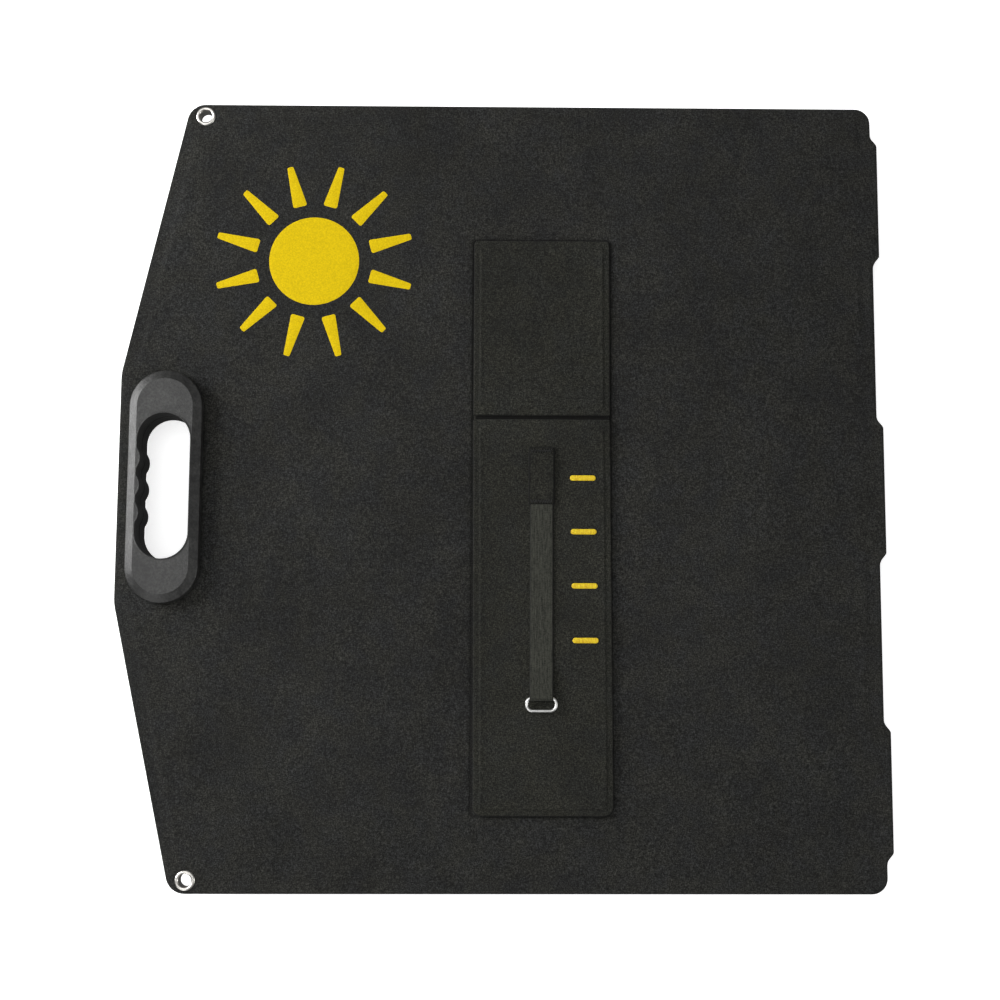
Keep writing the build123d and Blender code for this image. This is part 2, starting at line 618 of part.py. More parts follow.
# Webbing strap: a flat run with a hinge edge at the patch and an eye for the ring.
with BuildPart() as strap:
    with BuildSketch(Plane.YZ.offset(STAND_CENTRE_X - STRAP_WIDTH / 2)):
        half = STRAP_THICKNESS / 2
        flat_end_y = RING_BAR_Y + EYE_RADIUS
        with Locations((STRAP_HINGE_Y, STRAP_Z + half)):
            Circle(half)
        with Locations(((STRAP_HINGE_Y + flat_end_y) / 2, STRAP_Z + half)):
            Rectangle(STRAP_HINGE_Y - flat_end_y, STRAP_THICKNESS)
    extrude(amount=STRAP_WIDTH)
    with BuildSketch(Plane.YZ.offset(STAND_CENTRE_X - EYE_WIDTH / 2)):
        with Locations((RING_BAR_Y, RING_Z)):
            Circle(EYE_RADIUS)
        with Locations((RING_BAR_Y + EYE_RADIUS / 2, STRAP_Z + half)):
            Rectangle(EYE_RADIUS, STRAP_THICKNESS)
        with Locations((RING_BAR_Y, RING_Z)):
            Circle(RING_WIRE_RADIUS + RING_CLEARANCE, mode=Mode.SUBTRACT)
    extrude(amount=EYE_WIDTH)

# Wire ring: its upper bar runs through the eye.
with BuildPart() as ring:
    ring_half_width = RING_OUTER_WIDTH / 2 - RING_WIRE_RADIUS
    ring_depth = RING_OUTER_LENGTH - 2 * RING_WIRE_RADIUS
    with BuildLine(Plane.XY.offset(RING_Z)) as ring_path:
        for half_width in (ring_half_width, -ring_half_width):
            half = [
                (STAND_CENTRE_X, RING_BAR_Y),
                (STAND_CENTRE_X + half_width, RING_BAR_Y),
                (STAND_CENTRE_X + half_width, RING_BAR_Y - ring_depth),
                (STAND_CENTRE_X, RING_BAR_Y - ring_depth),
            ]
            FilletPolyline(*(half if half_width > 0 else half[::-1]), radius=RING_CORNER_RADIUS)
    with BuildSketch(Plane(origin=(STAND_CENTRE_X, RING_BAR_Y, RING_Z), z_dir=(1, 0, 0))):
        Circle(RING_WIRE_RADIUS)
    sweep(path=ring_path.wires()[0])

# Embroidered bars beside the strap.
with BuildPart() as angle_marks:
    with BuildSketch(Plane.XY.offset(LEG_TOP_Z)):
        for step in range(MARK_COUNT):
            mark_y = STRAP_TOP_Y + MARK_FROM_STRAP - step * MARK_PITCH
            with Locations((STAND_CENTRE_X + MARK_OFFSET_X, mark_y)):
                SlotOverall(MARK_LENGTH, MARK_WIDTH)
    extrude(amount=MARK_THICKNESS)

# ---- spine ---------------------------------------------------------------------------------------


def spine_tab(low_y, high_y):
    """One tab round the outside of the fold, its ends cut by the round slot ends."""
    half = SPINE_THICKNESS / 2
    with BuildPart(mode=Mode.PRIVATE) as tab:
        with BuildSketch(Plane.XZ.offset(-high_y)):
            with Locations((SPINE_OUTER_X - half, FOLD_PLANE_Z)):
                SlotOverall(STACK_THICKNESS, SPINE_THICKNESS, rotation=90)
        extrude(amount=high_y - low_y)
        for end_y in (low_y - SLOT_END_RUN, high_y + SLOT_END_RUN):
            with BuildSketch(Plane.YZ.offset(SPINE_INNER_X - BODY_GAP)):
                with Locations((end_y, FOLD_PLANE_Z)):
                    Circle(SLOT_RADIUS)
            extrude(amount=SPINE_THICKNESS + 2 * BODY_GAP, mode=Mode.SUBTRACT)
    return tab.part


TAB_SPANS = {
    "spine_tab_lower": (
        -OUTER_TAB_CENTRE - OUTER_TAB_LENGTH / 2,
        -OUTER_TAB_CENTRE + OUTER_TAB_LENGTH / 2,
    ),
    "spine_tab_middle": (-MIDDLE_TAB_LENGTH / 2, MIDDLE_TAB_LENGTH / 2),
    "spine_tab_upper": (
        OUTER_TAB_CENTRE - OUTER_TAB_LENGTH / 2,
        OUTER_TAB_CENTRE + OUTER_TAB_LENGTH / 2,
    ),
}

# ---- junction box on the rear panel ---------------------------------------------------------------

# Tray against the fabric back, with a hole for the cable bush in its lower end wall.
with BuildPart() as box_tray:
    with BuildSketch(Plane.XY.offset(BOX_WALL_Z)):
        add(box_outline())
    extrude(amount=REAR_BACK_Z - BOX_WALL_Z)
    with BuildSketch(Plane.XY.offset(BOX_WALL_Z)):
        add(box_outline(BOX_WALL))
        with Locations(*BOX_SCREW_PLACES):
            Circle(BOX_POST_RADIUS, mode=Mode.SUBTRACT)
    extrude(amount=BOX_INSIDE_Z - BOX_WALL_Z, mode=Mode.SUBTRACT)
    with BuildSketch(Plane.XY.offset(BOX_WALL_Z)):
        with Locations(*BOX_SCREW_PLACES):
            Circle(BOX_SCREW_RADIUS)
    extrude(amount=BOX_SCREW_LENGTH - BOX_WALL_Z, mode=Mode.SUBTRACT)
    with BuildSketch(Plane.XZ.offset(BOX_LENGTH / 2 - BOX_WALL)):
        with Locations((BOX_CENTRE_X, CABLE_Z)):
            Circle(CABLE_BUSH_WALL_RADIUS)
    extrude(amount=BOX_WALL, mode=Mode.SUBTRACT)

with BuildPart() as box_seal:
    with BuildSketch(Plane.XY.offset(BOX_SEAL_Z)):
        add(box_outline())
        add(box_outline(BOX_WALL), mode=Mode.SUBTRACT)
    extrude(amount=BOX_SEAL_THICKNESS)

with BuildPart() as box_lid:
    with BuildSketch():
        add(box_outline())
    extrude(amount=BOX_LID_THICKNESS)
    fillet(box_lid.edges().group_by(Axis.Z)[0], BOX_LID_THICKNESS / 3)
    with BuildSketch(Plane.XY.offset(BOX_LID_THICKNESS)):
        with Locations(*BOX_SCREW_PLACES):
            Circle(BOX_POST_RADIUS)
    extrude(amount=BOX_SEAL_THICKNESS)
    for place in BOX_SCREW_PLACES:
        with Locations(Plane(origin=(*place, 0), z_dir=(0, 0, -1))):
            CounterSinkHole(
                BOX_SCREW_RADIUS,
                BOX_SCREW_HEAD_RADIUS,
                BOX_LID_THICKNESS + BOX_SEAL_THICKNESS,
            )

with BuildPart() as box_screws:
    for place in BOX_SCREW_PLACES:
        with BuildSketch(Plane(origin=(*place, 0), x_dir=(1, 0, 0), z_dir=(0, -1, 0))):
            with BuildLine():
                Polyline(
                    (0, 0),
                    (BOX_SCREW_HEAD_RADIUS, 0),
                    (BOX_SCREW_RADIUS, BOX_SCREW_HEAD_RADIUS - BOX_SCREW_RADIUS),
                    (BOX_SCREW_RADIUS, BOX_SCREW_LENGTH),
                    (0, BOX_SCREW_LENGTH),
                    close=True,
                )
            make_face()
        revolve(axis=Axis((*place, 0), (0, 0, 1)))

with BuildPart() as terminal_board:
    with BuildSketch(Plane.XY.offset(BOX_INSIDE_Z - TERMINAL_BOARD_THICKNESS)):
        with Locations((BOX_CENTRE_X, 0)):
            Rectangle(TERMINAL_BOARD_WIDTH, TERMINAL_BOARD_LENGTH)
    extrude(amount=TERMINAL_BOARD_THICKNESS)

# Bypass diodes lie across the terminal board.
with BuildPart() as bypass_diodes:
    with BuildSketch(Plane.YZ.offset(BOX_CENTRE_X - DIODE_LENGTH / 2)):
        diode_z = BOX_INSIDE_Z - TERMINAL_BOARD_THICKNESS - DIODE_RADIUS
        with Locations((-DIODE_PITCH / 2, diode_z), (DIODE_PITCH / 2, diode_z)):
            Circle(DIODE_RADIUS)
    extrude(amount=DIODE_LENGTH)

# Rubber bush that the output cable leaves through.
with BuildPart() as cable_bush:
    bush_axis = Plane(origin=(BOX_CENTRE_X, -BOX_LENGTH / 2, CABLE_Z), z_dir=(0, -1, 0))
    with BuildSketch(bush_axis.offset(-BOX_WALL - CABLE_BUSH_INNER_LENGTH)):
        Circle(CABLE_BUSH_FLANGE_RADIUS)
    extrude(amount=CABLE_BUSH_INNER_LENGTH)
    with BuildSketch(bush_axis.offset(-BOX_WALL)):
        Circle(CABLE_BUSH_WALL_RADIUS)
    extrude(amount=BOX_WALL)
    with BuildSketch(bush_axis):
        Circle(CABLE_BUSH_FLANGE_RADIUS)
    with BuildSketch(bush_axis.offset(CABLE_BUSH_OUTER_LENGTH)):
        Circle(CABLE_BUSH_WALL_RADIUS)
    loft()
    with BuildSketch(bush_axis.offset(-BOX_WALL - CABLE_BUSH_INNER_LENGTH)):
        Circle(CABLE_BORE_RADIUS)
    extrude(
        amount=BOX_WALL + CABLE_BUSH_INNER_LENGTH + CABLE_BUSH_OUTER_LENGTH, mode=Mode.SUBTRACT
    )

# ---- write every piece ------------------------------------------------------------------------------

PANEL_PIECES = {
    "cover": cover,
    "board": board,
    "face_frame": face_frame,
    "laminate": laminate,
    "cells": cells,
    "magnets": magnets,
    "handle_shell": handle_shell,
    "handle_plate": handle_plate,
    "handle_screws": handle_screws,
    "grommets": grommets,
    "stand_base": stand_base,
    "stand_base_stiffener": stand_base_stiffener,
    "stand_leg": stand_leg,
    "stand_leg_stiffener": stand_leg_stiffener,
    "strap_patch": strap_patch,
    "strap": strap,
    "ring": ring,
    "angle_marks": angle_marks,
}
BOX_PIECES = {
    "box_tray": box_tray,
    "box_seal": box_seal,
    "box_lid": box_lid,
    "box_screws": box_screws,
    "terminal_board": terminal_board,
    "bypass_diodes": bypass_diodes,
    "cable_bush": cable_bush,
}


def write_piece(part, label):
    part.label = label
    export_step(part, f"parts/{label}.step")


os.makedirs("parts", exist_ok=True)

# The rear panel is the front panel seen in the mirror between the two solar faces.
for piece_name, piece in PANEL_PIECES.items():
    write_piece(piece.part, f"front_{piece_name}")
    with BuildPart() as rear_piece:
        mirror(piece.part, about=Plane.XY.offset(FOLD_PLANE_Z))
    write_piece(rear_piece.part, f"rear_{piece_name}")

for tab_name, (low_end, high_end) in TAB_SPANS.items():
    with BuildPart() as tab_piece:
        add(spine_tab(low_end, high_end))
    write_piece(tab_piece.part, tab_name)

for piece_name, piece in BOX_PIECES.items():
    write_piece(piece.part, piece_name)
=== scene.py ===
import math

import bmesh
import bpy
import numpy as np
from mathutils import Euler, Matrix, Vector
from mathutils.geometry import delaunay_2d_cdt


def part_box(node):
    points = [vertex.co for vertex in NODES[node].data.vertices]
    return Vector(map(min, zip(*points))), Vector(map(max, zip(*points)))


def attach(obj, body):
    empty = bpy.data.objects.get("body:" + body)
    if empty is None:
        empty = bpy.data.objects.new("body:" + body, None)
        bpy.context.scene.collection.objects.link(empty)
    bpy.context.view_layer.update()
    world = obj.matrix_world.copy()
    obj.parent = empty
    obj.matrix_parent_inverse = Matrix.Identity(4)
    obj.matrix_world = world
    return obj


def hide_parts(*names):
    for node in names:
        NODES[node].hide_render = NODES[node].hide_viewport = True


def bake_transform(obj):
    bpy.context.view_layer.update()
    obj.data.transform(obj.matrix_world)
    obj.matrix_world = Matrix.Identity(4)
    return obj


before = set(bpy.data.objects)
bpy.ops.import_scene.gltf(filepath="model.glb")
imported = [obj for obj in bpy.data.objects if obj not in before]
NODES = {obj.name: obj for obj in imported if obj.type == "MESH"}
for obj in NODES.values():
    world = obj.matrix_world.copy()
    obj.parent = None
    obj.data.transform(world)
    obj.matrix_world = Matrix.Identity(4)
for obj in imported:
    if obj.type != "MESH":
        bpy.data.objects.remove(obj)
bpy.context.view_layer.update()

# Shapes are worked out in millimetres on the front panel, and scaled to metres when a mesh is made.
MM = 0.001
SIDES = ("front", "rear")


def node_box(name):
    low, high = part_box(name)
    return np.array(low) / MM, np.array(high) / MM


# ---- levels and outlines, from the frame ---------------------------------

COVER_LOW, COVER_HIGH = node_box("front_cover")
FRAME_LOW, FRAME_HIGH = node_box("front_face_frame")
LAMINATE_LOW, LAMINATE_HIGH = node_box("front_laminate")
HANDLE_LOW, HANDLE_HIGH = node_box("front_handle_shell")
GROMMET_LOW, GROMMET_HIGH = node_box("front_grommets")
BASE_LOW, BASE_HIGH = node_box("front_stand_base")
LEG_LOW, LEG_HIGH = node_box("front_stand_leg")
PATCH_LOW, PATCH_HIGH = node_box("front_strap_patch")
STRAP_LOW, STRAP_HIGH = node_box("front_strap")
RING_LOW, RING_HIGH = node_box("front_ring")
MARKS_LOW, MARKS_HIGH = node_box("front_angle_marks")
TAB_LOW, TAB_HIGH = node_box("spine_tab_middle")

BACK_Z = COVER_HIGH[2]
FACE_Z = FRAME_LOW[2]
MID_Z = (BACK_Z + FACE_Z) / 2
FOLD_Z = (TAB_LOW[2] + TAB_HIGH[2]) / 2
HALF_HEIGHT = COVER_HIGH[1]
HANDLE_EDGE_X = COVER_LOW[0]
SLOT_FLOOR_X = FRAME_HIGH[0]
SPINE_X = TAB_HIGH[0]

TAPER_RUN = 48.0
HANDLE_EDGE_HALF = 88.75
SLOT_RADIUS = SPINE_X - SLOT_FLOOR_X + (TAB_HIGH[2] - TAB_LOW[2]) / 2
SLOT_CENTRE_U = SLOT_FLOOR_X + SLOT_RADIUS
TAB_SPANS = ((-284.24, -174.76), (-58.64, 58.64), (174.76, 284.24))  # between slot centres
TAB_CUT_X = SLOT_FLOOR_X + 2.5  # where the panel's cloth hands over to the spine's
HEM_RADIUS = 2.2
PANEL_CLOTH, SPINE_CLOTH = 0.55, 0.8  # thicknesses
BOARD_INSET = 12.0
GROMMET_X = (GROMMET_LOW[0] + GROMMET_HIGH[0]) / 2
GROMMET_Y = GROMMET_HIGH[1] - (GROMMET_HIGH[0] - GROMMET_LOW[0]) / 2
HANDLE_X = (HANDLE_LOW[0] + HANDLE_HIGH[0]) / 2
STAND_X = (LEG_LOW[0] + LEG_HIGH[0]) / 2
STRAP_HALF = (STRAP_HIGH[0] - STRAP_LOW[0]) / 2
CREASE_Y = LEG_HIGH[1] - 0.5
LEG_TOP_Y = CREASE_Y - 1.5


def on_side(side, z):
    """A height on the front panel, or its mirror image on the rear one."""
    return 2 * FOLD_Z - z if side == "rear" else z


def smooth(value, low, high):
    t = np.clip((np.asarray(value, float) - low) / (high - low), 0, 1)
    return t * t * (3 - 2 * t)


def ripple(xy, wavelength, seed):
    """Soft uneven waves of about one wavelength, from -1 to 1."""
    rng = np.random.default_rng(seed)
    total = np.zeros(len(xy))
    for _ in range(7):
        angle = rng.uniform(0, math.tau)
        length = wavelength * rng.uniform(0.7, 1.6)
        phase = rng.uniform(0, math.tau)
        along = xy[:, 0] * math.cos(angle) + xy[:, 1] * math.sin(angle)
        total += np.sin(along * math.tau / length + phase)
    return total / 4.0


# ---- outlines and triangulated plates ------------------------------------


def run(a, b, step):
    """Points from a to b, without b."""
    a, b = np.array(a, float), np.array(b, float)
    count = max(1, int(math.ceil(np.linalg.norm(b - a) / step)))
    return [tuple(a + (b - a) * i / count) for i in range(count)]


def rounded(corners, radii, step):
    """A closed outline with rounded corners, counterclockwise like its corners."""
    corners = [np.array(c, float) for c in corners]
    count = len(corners)
    arcs = []
    for i, corner in enumerate(corners):
        before, after = corners[i - 1] - corner, corners[(i + 1) % count] - corner
        before, after = before / np.linalg.norm(before), after / np.linalg.norm(after)
        half = math.acos(float(np.clip(before @ after, -1, 1))) / 2
        reach = radii[i] / math.tan(half)
        middle = before + after
        centre = corner + middle / np.linalg.norm(middle) * radii[i] / math.sin(half)
        start, end = corner + before * reach, corner + after * reach
        a0 = math.atan2(*(start - centre)[::-1])
        a1 = math.atan2(*(end - centre)[::-1])
        sweep = (a1 - a0 + math.pi) % math.tau - math.pi
        pieces = max(3, int(math.ceil(abs(sweep) * radii[i] / min(step, 2.0))))
        turn = np.linspace(a0, a0 + sweep, pieces + 1)
        arcs.append([centre + radii[i] * np.array([math.cos(a), math.sin(a)]) for a in turn])
    points = []
    for i, arc in enumerate(arcs):
        points += [tuple(p) for p in arc[:-1]]
        points += run(arc[-1], arcs[(i + 1) % count][0], step)
    return np.array(points)


def rectangle(low_x, low_y, high_x, high_y, radius, step):
    corners = [(low_x, low_y), (high_x, low_y), (high_x, high_y), (low_x, high_y)]
    return rounded(corners, np.broadcast_to(radius, 4).tolist(), step)


def stadium(x, length, width, step):
    """A round-ended outline along Y, centred on (x, 0)."""
    r = width / 2
    y = length / 2 - r
    ends = np.linspace(0, math.pi, max(8, int(math.pi * r / step)))
    upper = [(x + r * math.cos(a), y + r * math.sin(a)) for a in ends]
    lower = [(x - r * math.cos(a), -y - r * math.sin(a)) for a in ends]
    sides = run(upper[-1], lower[0], step)[1:], run(lower[-1], upper[0], step)[1:]
    return np.array(upper + sides[0] + lower + sides[1])


def circle(x, y, radius, count=28):
    turn = np.linspace(0, math.tau, count, endpoint=False)
    return np.stack([x + radius * np.cos(turn), y + radius * np.sin(turn)], 1)


def resample(line, step):
    """Even points along a smooth curve through the line's points."""
    ahead = np.concatenate([[2 * line[0] - line[1]], line, [2 * line[-1] - line[-2]]])
    fine = []
    for i in range(1, len(ahead) - 2):
        p0, p1, p2, p3 = ahead[i - 1 : i + 3]
        t0, t1, t2 = (np.linalg.norm(b - a) ** 0.5 for a, b in ((p0, p1), (p1, p2), (p2, p3)))
        m1 = (p2 - p1) + t1 * ((p1 - p0) / t0 - (p2 - p0) / (t0 + t1))
        m2 = (p2 - p1) + t1 * ((p3 - p2) / t2 - (p3 - p1) / (t1 + t2))
        for t in np.linspace(0, 1, 12, endpoint=False):
            fine.append(
                (2 * t**3 - 3 * t**2 + 1) * p1
                + (t**3 - 2 * t**2 + t) * m1
                + (3 * t**2 - 2 * t**3) * p2
                + (t**3 - t**2) * m2
            )
    fine.append(line[-1])
    fine = np.array(fine)
    reach = np.concatenate([[0], np.cumsum(np.linalg.norm(np.diff(fine, axis=0), axis=1))])
    count = int(reach[-1] / step) + 1
    wanted = np.linspace(0, reach[-1], count)
    return np.stack([np.interp(wanted, reach, fine[:, k]) for k in range(fine.shape[1])], 1)


def distance(points, line, closed=True):
    """From each point to the nearest place on a line through other points."""
    starts = line if closed else line[:-1]
    ends = np.roll(line, -1, 0) if closed else line[1:]
    best = np.full(len(points), 1e9)
    for a, b in zip(starts, ends):
        d = b - a
        t = np.clip((points - a) @ d / max(d @ d, 1e-12), 0, 1)
        gap = points - a - t[:, None] * d
        best = np.minimum(best, np.einsum("ij,ij->i", gap, gap))
    return np.sqrt(best)


def inside(points, loop):
    x, y = points[:, 0], points[:, 1]
    result = np.zeros(len(points), bool)
    for (x0, y0), (x1, y1) in zip(loop, np.roll(loop, -1, 0)):
        if y0 == y1:
            continue
        crosses = (y0 > y) != (y1 > y)
        result ^= crosses & (x < (x1 - x0) * (y - y0) / (y1 - y0) + x0)
    return result


def moved_in(loop, amount):
    """The loop's points moved to its left, which is inwards on a counterclockwise loop."""
    along = np.roll(loop, -1, 0) - np.roll(loop, 1, 0)
    along /= np.linalg.norm(along, axis=1)[:, None]
    return loop + amount * np.stack([-along[:, 1], along[:, 0]], 1)


def plate(loop, holes=(), rings=(), hole_rings=(), spacing=12.0, extra=()):
    """Fills an outline with triangles: rings of points along its edges, then a plain grid."""
    fields = [moved_in(loop, r) for r in rings]
    keep = [distance(f, loop) > r - 0.05 for f, r in zip(fields, rings)]
    points = [f[k & inside(f, loop)] for f, k in zip(fields, keep)]
    for hole in holes:
        points += [moved_in(hole, -r) for r in hole_rings]
    points += [np.array(e, float) for e in extra]
    low, high = loop.min(0), loop.max(0)
    axes = [np.arange(low[k] + spacing / 2, high[k], spacing) for k in (0, 1)]
    grid = np.stack(np.meshgrid(*axes), -1).reshape(-1, 2)
    margin = (max(rings) if rings else 0) + spacing * 0.4
    grid = grid[inside(grid, loop)]
    grid = grid[distance(grid, loop) > margin]
    for hole in holes:
        clear = (max(hole_rings) if hole_rings else 0) + spacing * 0.4
        grid = grid[~inside(grid, hole)]
        grid = grid[distance(grid, hole) > clear]
    points.append(grid)
    free = np.concatenate([p for p in points if len(p)])
    for hole in holes:
        free = free[~inside(free, hole) & (distance(free, hole) > 0.2)]
    verts = [Vector(p) for p in loop]
    edges = [(i, (i + 1) % len(loop)) for i in range(len(loop))]
    for hole in holes:
        first = len(verts)
        verts += [Vector(p) for p in hole]
        edges += [(first + i, first + (i + 1) % len(hole)) for i in range(len(hole))]
    verts += [Vector(p) for p in free]
    out, _, faces, *_ = delaunay_2d_cdt(verts, edges, [], 1, 1e-4)
    out = np.array([tuple(v) for v in out])
    faces = np.array([f for f in faces if len(f) == 3])
    middles = out[faces].mean(1)
    wanted = inside(middles, loop)
    for hole in holes:
        wanted &= ~inside(middles, hole)
    faces = faces[wanted]
    a, b, c = (out[faces[:, i]] for i in range(3))
    area = (b - a)[:, 0] * (c - a)[:, 1] - (b - a)[:, 1] * (c - a)[:, 0]
    faces[area < 0] = faces[area < 0][:, ::-1]
    return out, faces[np.abs(area) > 1e-7]


def with_z(xy, z):
    return np.column_stack([xy, np.broadcast_to(z, len(xy))])


def grid_faces(rows, columns, closed=False):
    """Quads over rows x columns of points; closed joins the last column to the first."""
    across = columns if closed else columns - 1
    return [
        (
            r * columns + c,
            r * columns + (c + 1) % columns,
            (r + 1) * columns + (c + 1) % columns,
            (r + 1) * columns + c,
        )
        for r in range(rows - 1)
        for c in range(across)
    ]


class Shell:
    """Points and faces gathered from several parts, welded where they meet; each point carries an
    amount of painted shade.
    """

    def __init__(self):
        self.points, self.faces, self.painted_shades = [], [], []

    def add(self, points, faces, flip=False, seam=0.0):
        first = len(self.points)
        self.points += [tuple(p) for p in points]
        self.painted_shades += np.broadcast_to(seam, len(points)).tolist()
        for face in faces:
            face = [first + int(i) for i in face]
            self.faces.append(face[::-1] if flip else face)
        return self

    def build(self, name, material, side="front", weld=0.03):
        points = np.array(self.points, float)
        faces = self.faces
        if side == "rear":
            points[:, 2] = on_side(side, points[:, 2])
            faces = [f[::-1] for f in faces]
        mesh = bpy.data.meshes.new(name)
        mesh.from_pydata((points * MM).tolist(), [], faces)
        # Stores the painted shade per point, which the fabric's colour reads.
        mesh.attributes.new("seam", "FLOAT", "POINT").data.foreach_set("value", self.painted_shades)
        mesh.validate()
        if weld:
            bm = bmesh.new()
            bm.from_mesh(mesh)
            bmesh.ops.remove_doubles(bm, verts=bm.verts, dist=weld * MM)
            bm.to_mesh(mesh)
            bm.free()
        mesh.polygons.foreach_set("use_smooth", [True] * len(mesh.polygons))
        obj = bpy.data.objects.new(name, mesh)
        bpy.context.scene.collection.objects.link(obj)
        mesh.materials.append(material)
        return obj


def thicken(obj, thickness):
    """Gives a cloth its thickness, inwards from its outer face."""
    solid = obj.modifiers.new("cloth", "SOLIDIFY")
    solid.thickness = thickness * MM
    solid.offset = -1


def tube(path, radius, sides):
    """A round tube along a line of points: its points and faces."""
    path = np.array(path, float)
    along = np.gradient(path, axis=0)
    along /= np.linalg.norm(along, axis=1)[:, None]
    side = np.cross(along, (0.0, 0.0, 1.0))
    length = np.linalg.norm(side, axis=1)
    side = np.where(length[:, None] > 1e-6, side / np.maximum(length, 1e-9)[:, None], (1.0, 0, 0))
    up = np.cross(side, along)
    turn = np.linspace(0, math.tau, sides, endpoint=False)
    points = (
        path[:, None]
        + radius * np.cos(turn)[None, :, None] * side[:, None]
        + radius * np.sin(turn)[None, :, None] * up[:, None]
    )
    rows = len(path)
    faces = grid_faces(rows, sides, closed=True)
    faces.append(tuple(range(sides))[::-1])
    faces.append(tuple((rows - 1) * sides + i for i in range(sides)))
    return points.reshape(-1, 3), [f[::-1] for f in faces]


# ---- materials -----------------------------------------------------------


YARN_PITCH = (1.0, 0.92)
YARN_WANDER = 0.25
# Painted shade darkens the cloth towards this near-black.
PAINTED_SHADE_BLACK = (0.0012, 0.0012, 0.0010)
# The near-black that the strap's colour darkens to along both its edges.
STRAP_EDGE_BLACK = (0.0020, 0.0020, 0.0017)
DIMPLE_SCALE = 620.0  # the fine dimples of the solar film
CELL_FINGER_PITCH, CELL_BUSBAR_PITCH = 2.6, 80.0 / 3


class Look:
    """A node material: a Principled shader, and helpers that add and link nodes."""

    def __init__(self, name, roughness, metallic=0.0, specular=0.5, **sockets):
        self.material = bpy.data.materials.new(name)
        self.material.use_nodes = True
        self.tree = self.material.node_tree
        self.shader = next(n for n in self.tree.nodes if n.type == "BSDF_PRINCIPLED")
        self.put("Roughness", roughness)
        self.put("Metallic", metallic)
        self.put("Specular IOR Level", specular)
        for key, value in sockets.items():
            self.put(key.replace("_", " "), value)
        self.place = self.node("ShaderNodeTexCoord").outputs["Object"]

    def feed(self, target, value):
        """Links an input socket to an output, or sets its value."""
        if isinstance(value, bpy.types.NodeSocket):
            self.tree.links.new(value, target)
        else:
            target.default_value = value

    def put(self, socket, value):
        self.feed(self.shader.inputs[socket], value)

    def node(self, kind, inputs=None, **settings):
        made = self.tree.nodes.new(kind)
        for key, value in settings.items():
            setattr(made, key, value)
        for key, value in (inputs or {}).items():
            self.feed(made.inputs[key], value)
        return made

    def math(self, operation, a, b=0.0):
        return self.node("ShaderNodeMath", {0: a, 1: b}, operation=operation).outputs[0]

    def noise(self, scale, detail=3.0, roughness=0.55, vector=None, distortion=0.0):
        inputs = {"Vector": vector or self.place, "Scale": scale, "Detail": detail}
        inputs.update({"Roughness": roughness, "Distortion": distortion})
        return self.node("ShaderNodeTexNoise", inputs).outputs["Fac"]

    def stretched(self, scale):
        return self.node("ShaderNodeMapping", {"Vector": self.place, "Scale": scale}).outputs[0]

    def ramp(self, factor, stops):
        made = self.node("ShaderNodeValToRGB", {"Fac": factor})
        elements = made.color_ramp.elements
        while len(elements) < len(stops):
            elements.new(0.5)
        for element, (position, colour) in zip(elements, stops):
            element.position = position
            element.color = (*colour, 1.0)
        return made.outputs["Color"]

    def between(self, factor, low, high):
        """A number that runs from low to high as the factor runs from 0 to 1."""
        inputs = {"Value": factor, "To Min": low, "To Max": high}
        return self.node("ShaderNodeMapRange", inputs).outputs[0]

    def mix(self, factor, a, b, blend="MIX"):
        made = self.node("ShaderNodeMix", data_type="RGBA", blend_type=blend)
        for index, value in ((0, factor), (6, a), (7, b)):
            self.feed(made.inputs[index], (*value, 1.0) if isinstance(value, tuple) else value)
        return made.outputs[2]

    def bump(self, height, strength, depth, below=None):
        """Depth in millimetres."""
        inputs = {"Height": height, "Strength": strength, "Distance": depth * MM}
        if below is not None:
            inputs["Normal"] = below
        return self.node("ShaderNodeBump", inputs).outputs[0]

    def dimples(self):
        inputs = {"Vector": self.place, "Scale": DIMPLE_SCALE}
        return self.node("ShaderNodeTexVoronoi", inputs).outputs["Distance"]

    def threads(self):
        """A plain weave: which of two crossing yarns is on top, from 0 to 1."""
        drift = self.math("MULTIPLY", self.noise(260.0, 2.0), YARN_WANDER)
        parts = self.node("ShaderNodeSeparateXYZ", {0: self.place})
        waves = []
        for axis, pitch in enumerate(YARN_PITCH):
            turns = self.math("MULTIPLY", parts.outputs[axis], math.tau / (pitch * MM))
            wander = self.math("MULTIPLY", drift, 9.0)
            waves.append(self.math("SINE", self.math("ADD", turns, wander)))
        crossed = self.math("MULTIPLY", waves[0], waves[1])
        return self.math("MULTIPLY_ADD", crossed, 0.5)  # the node itself adds 0.5


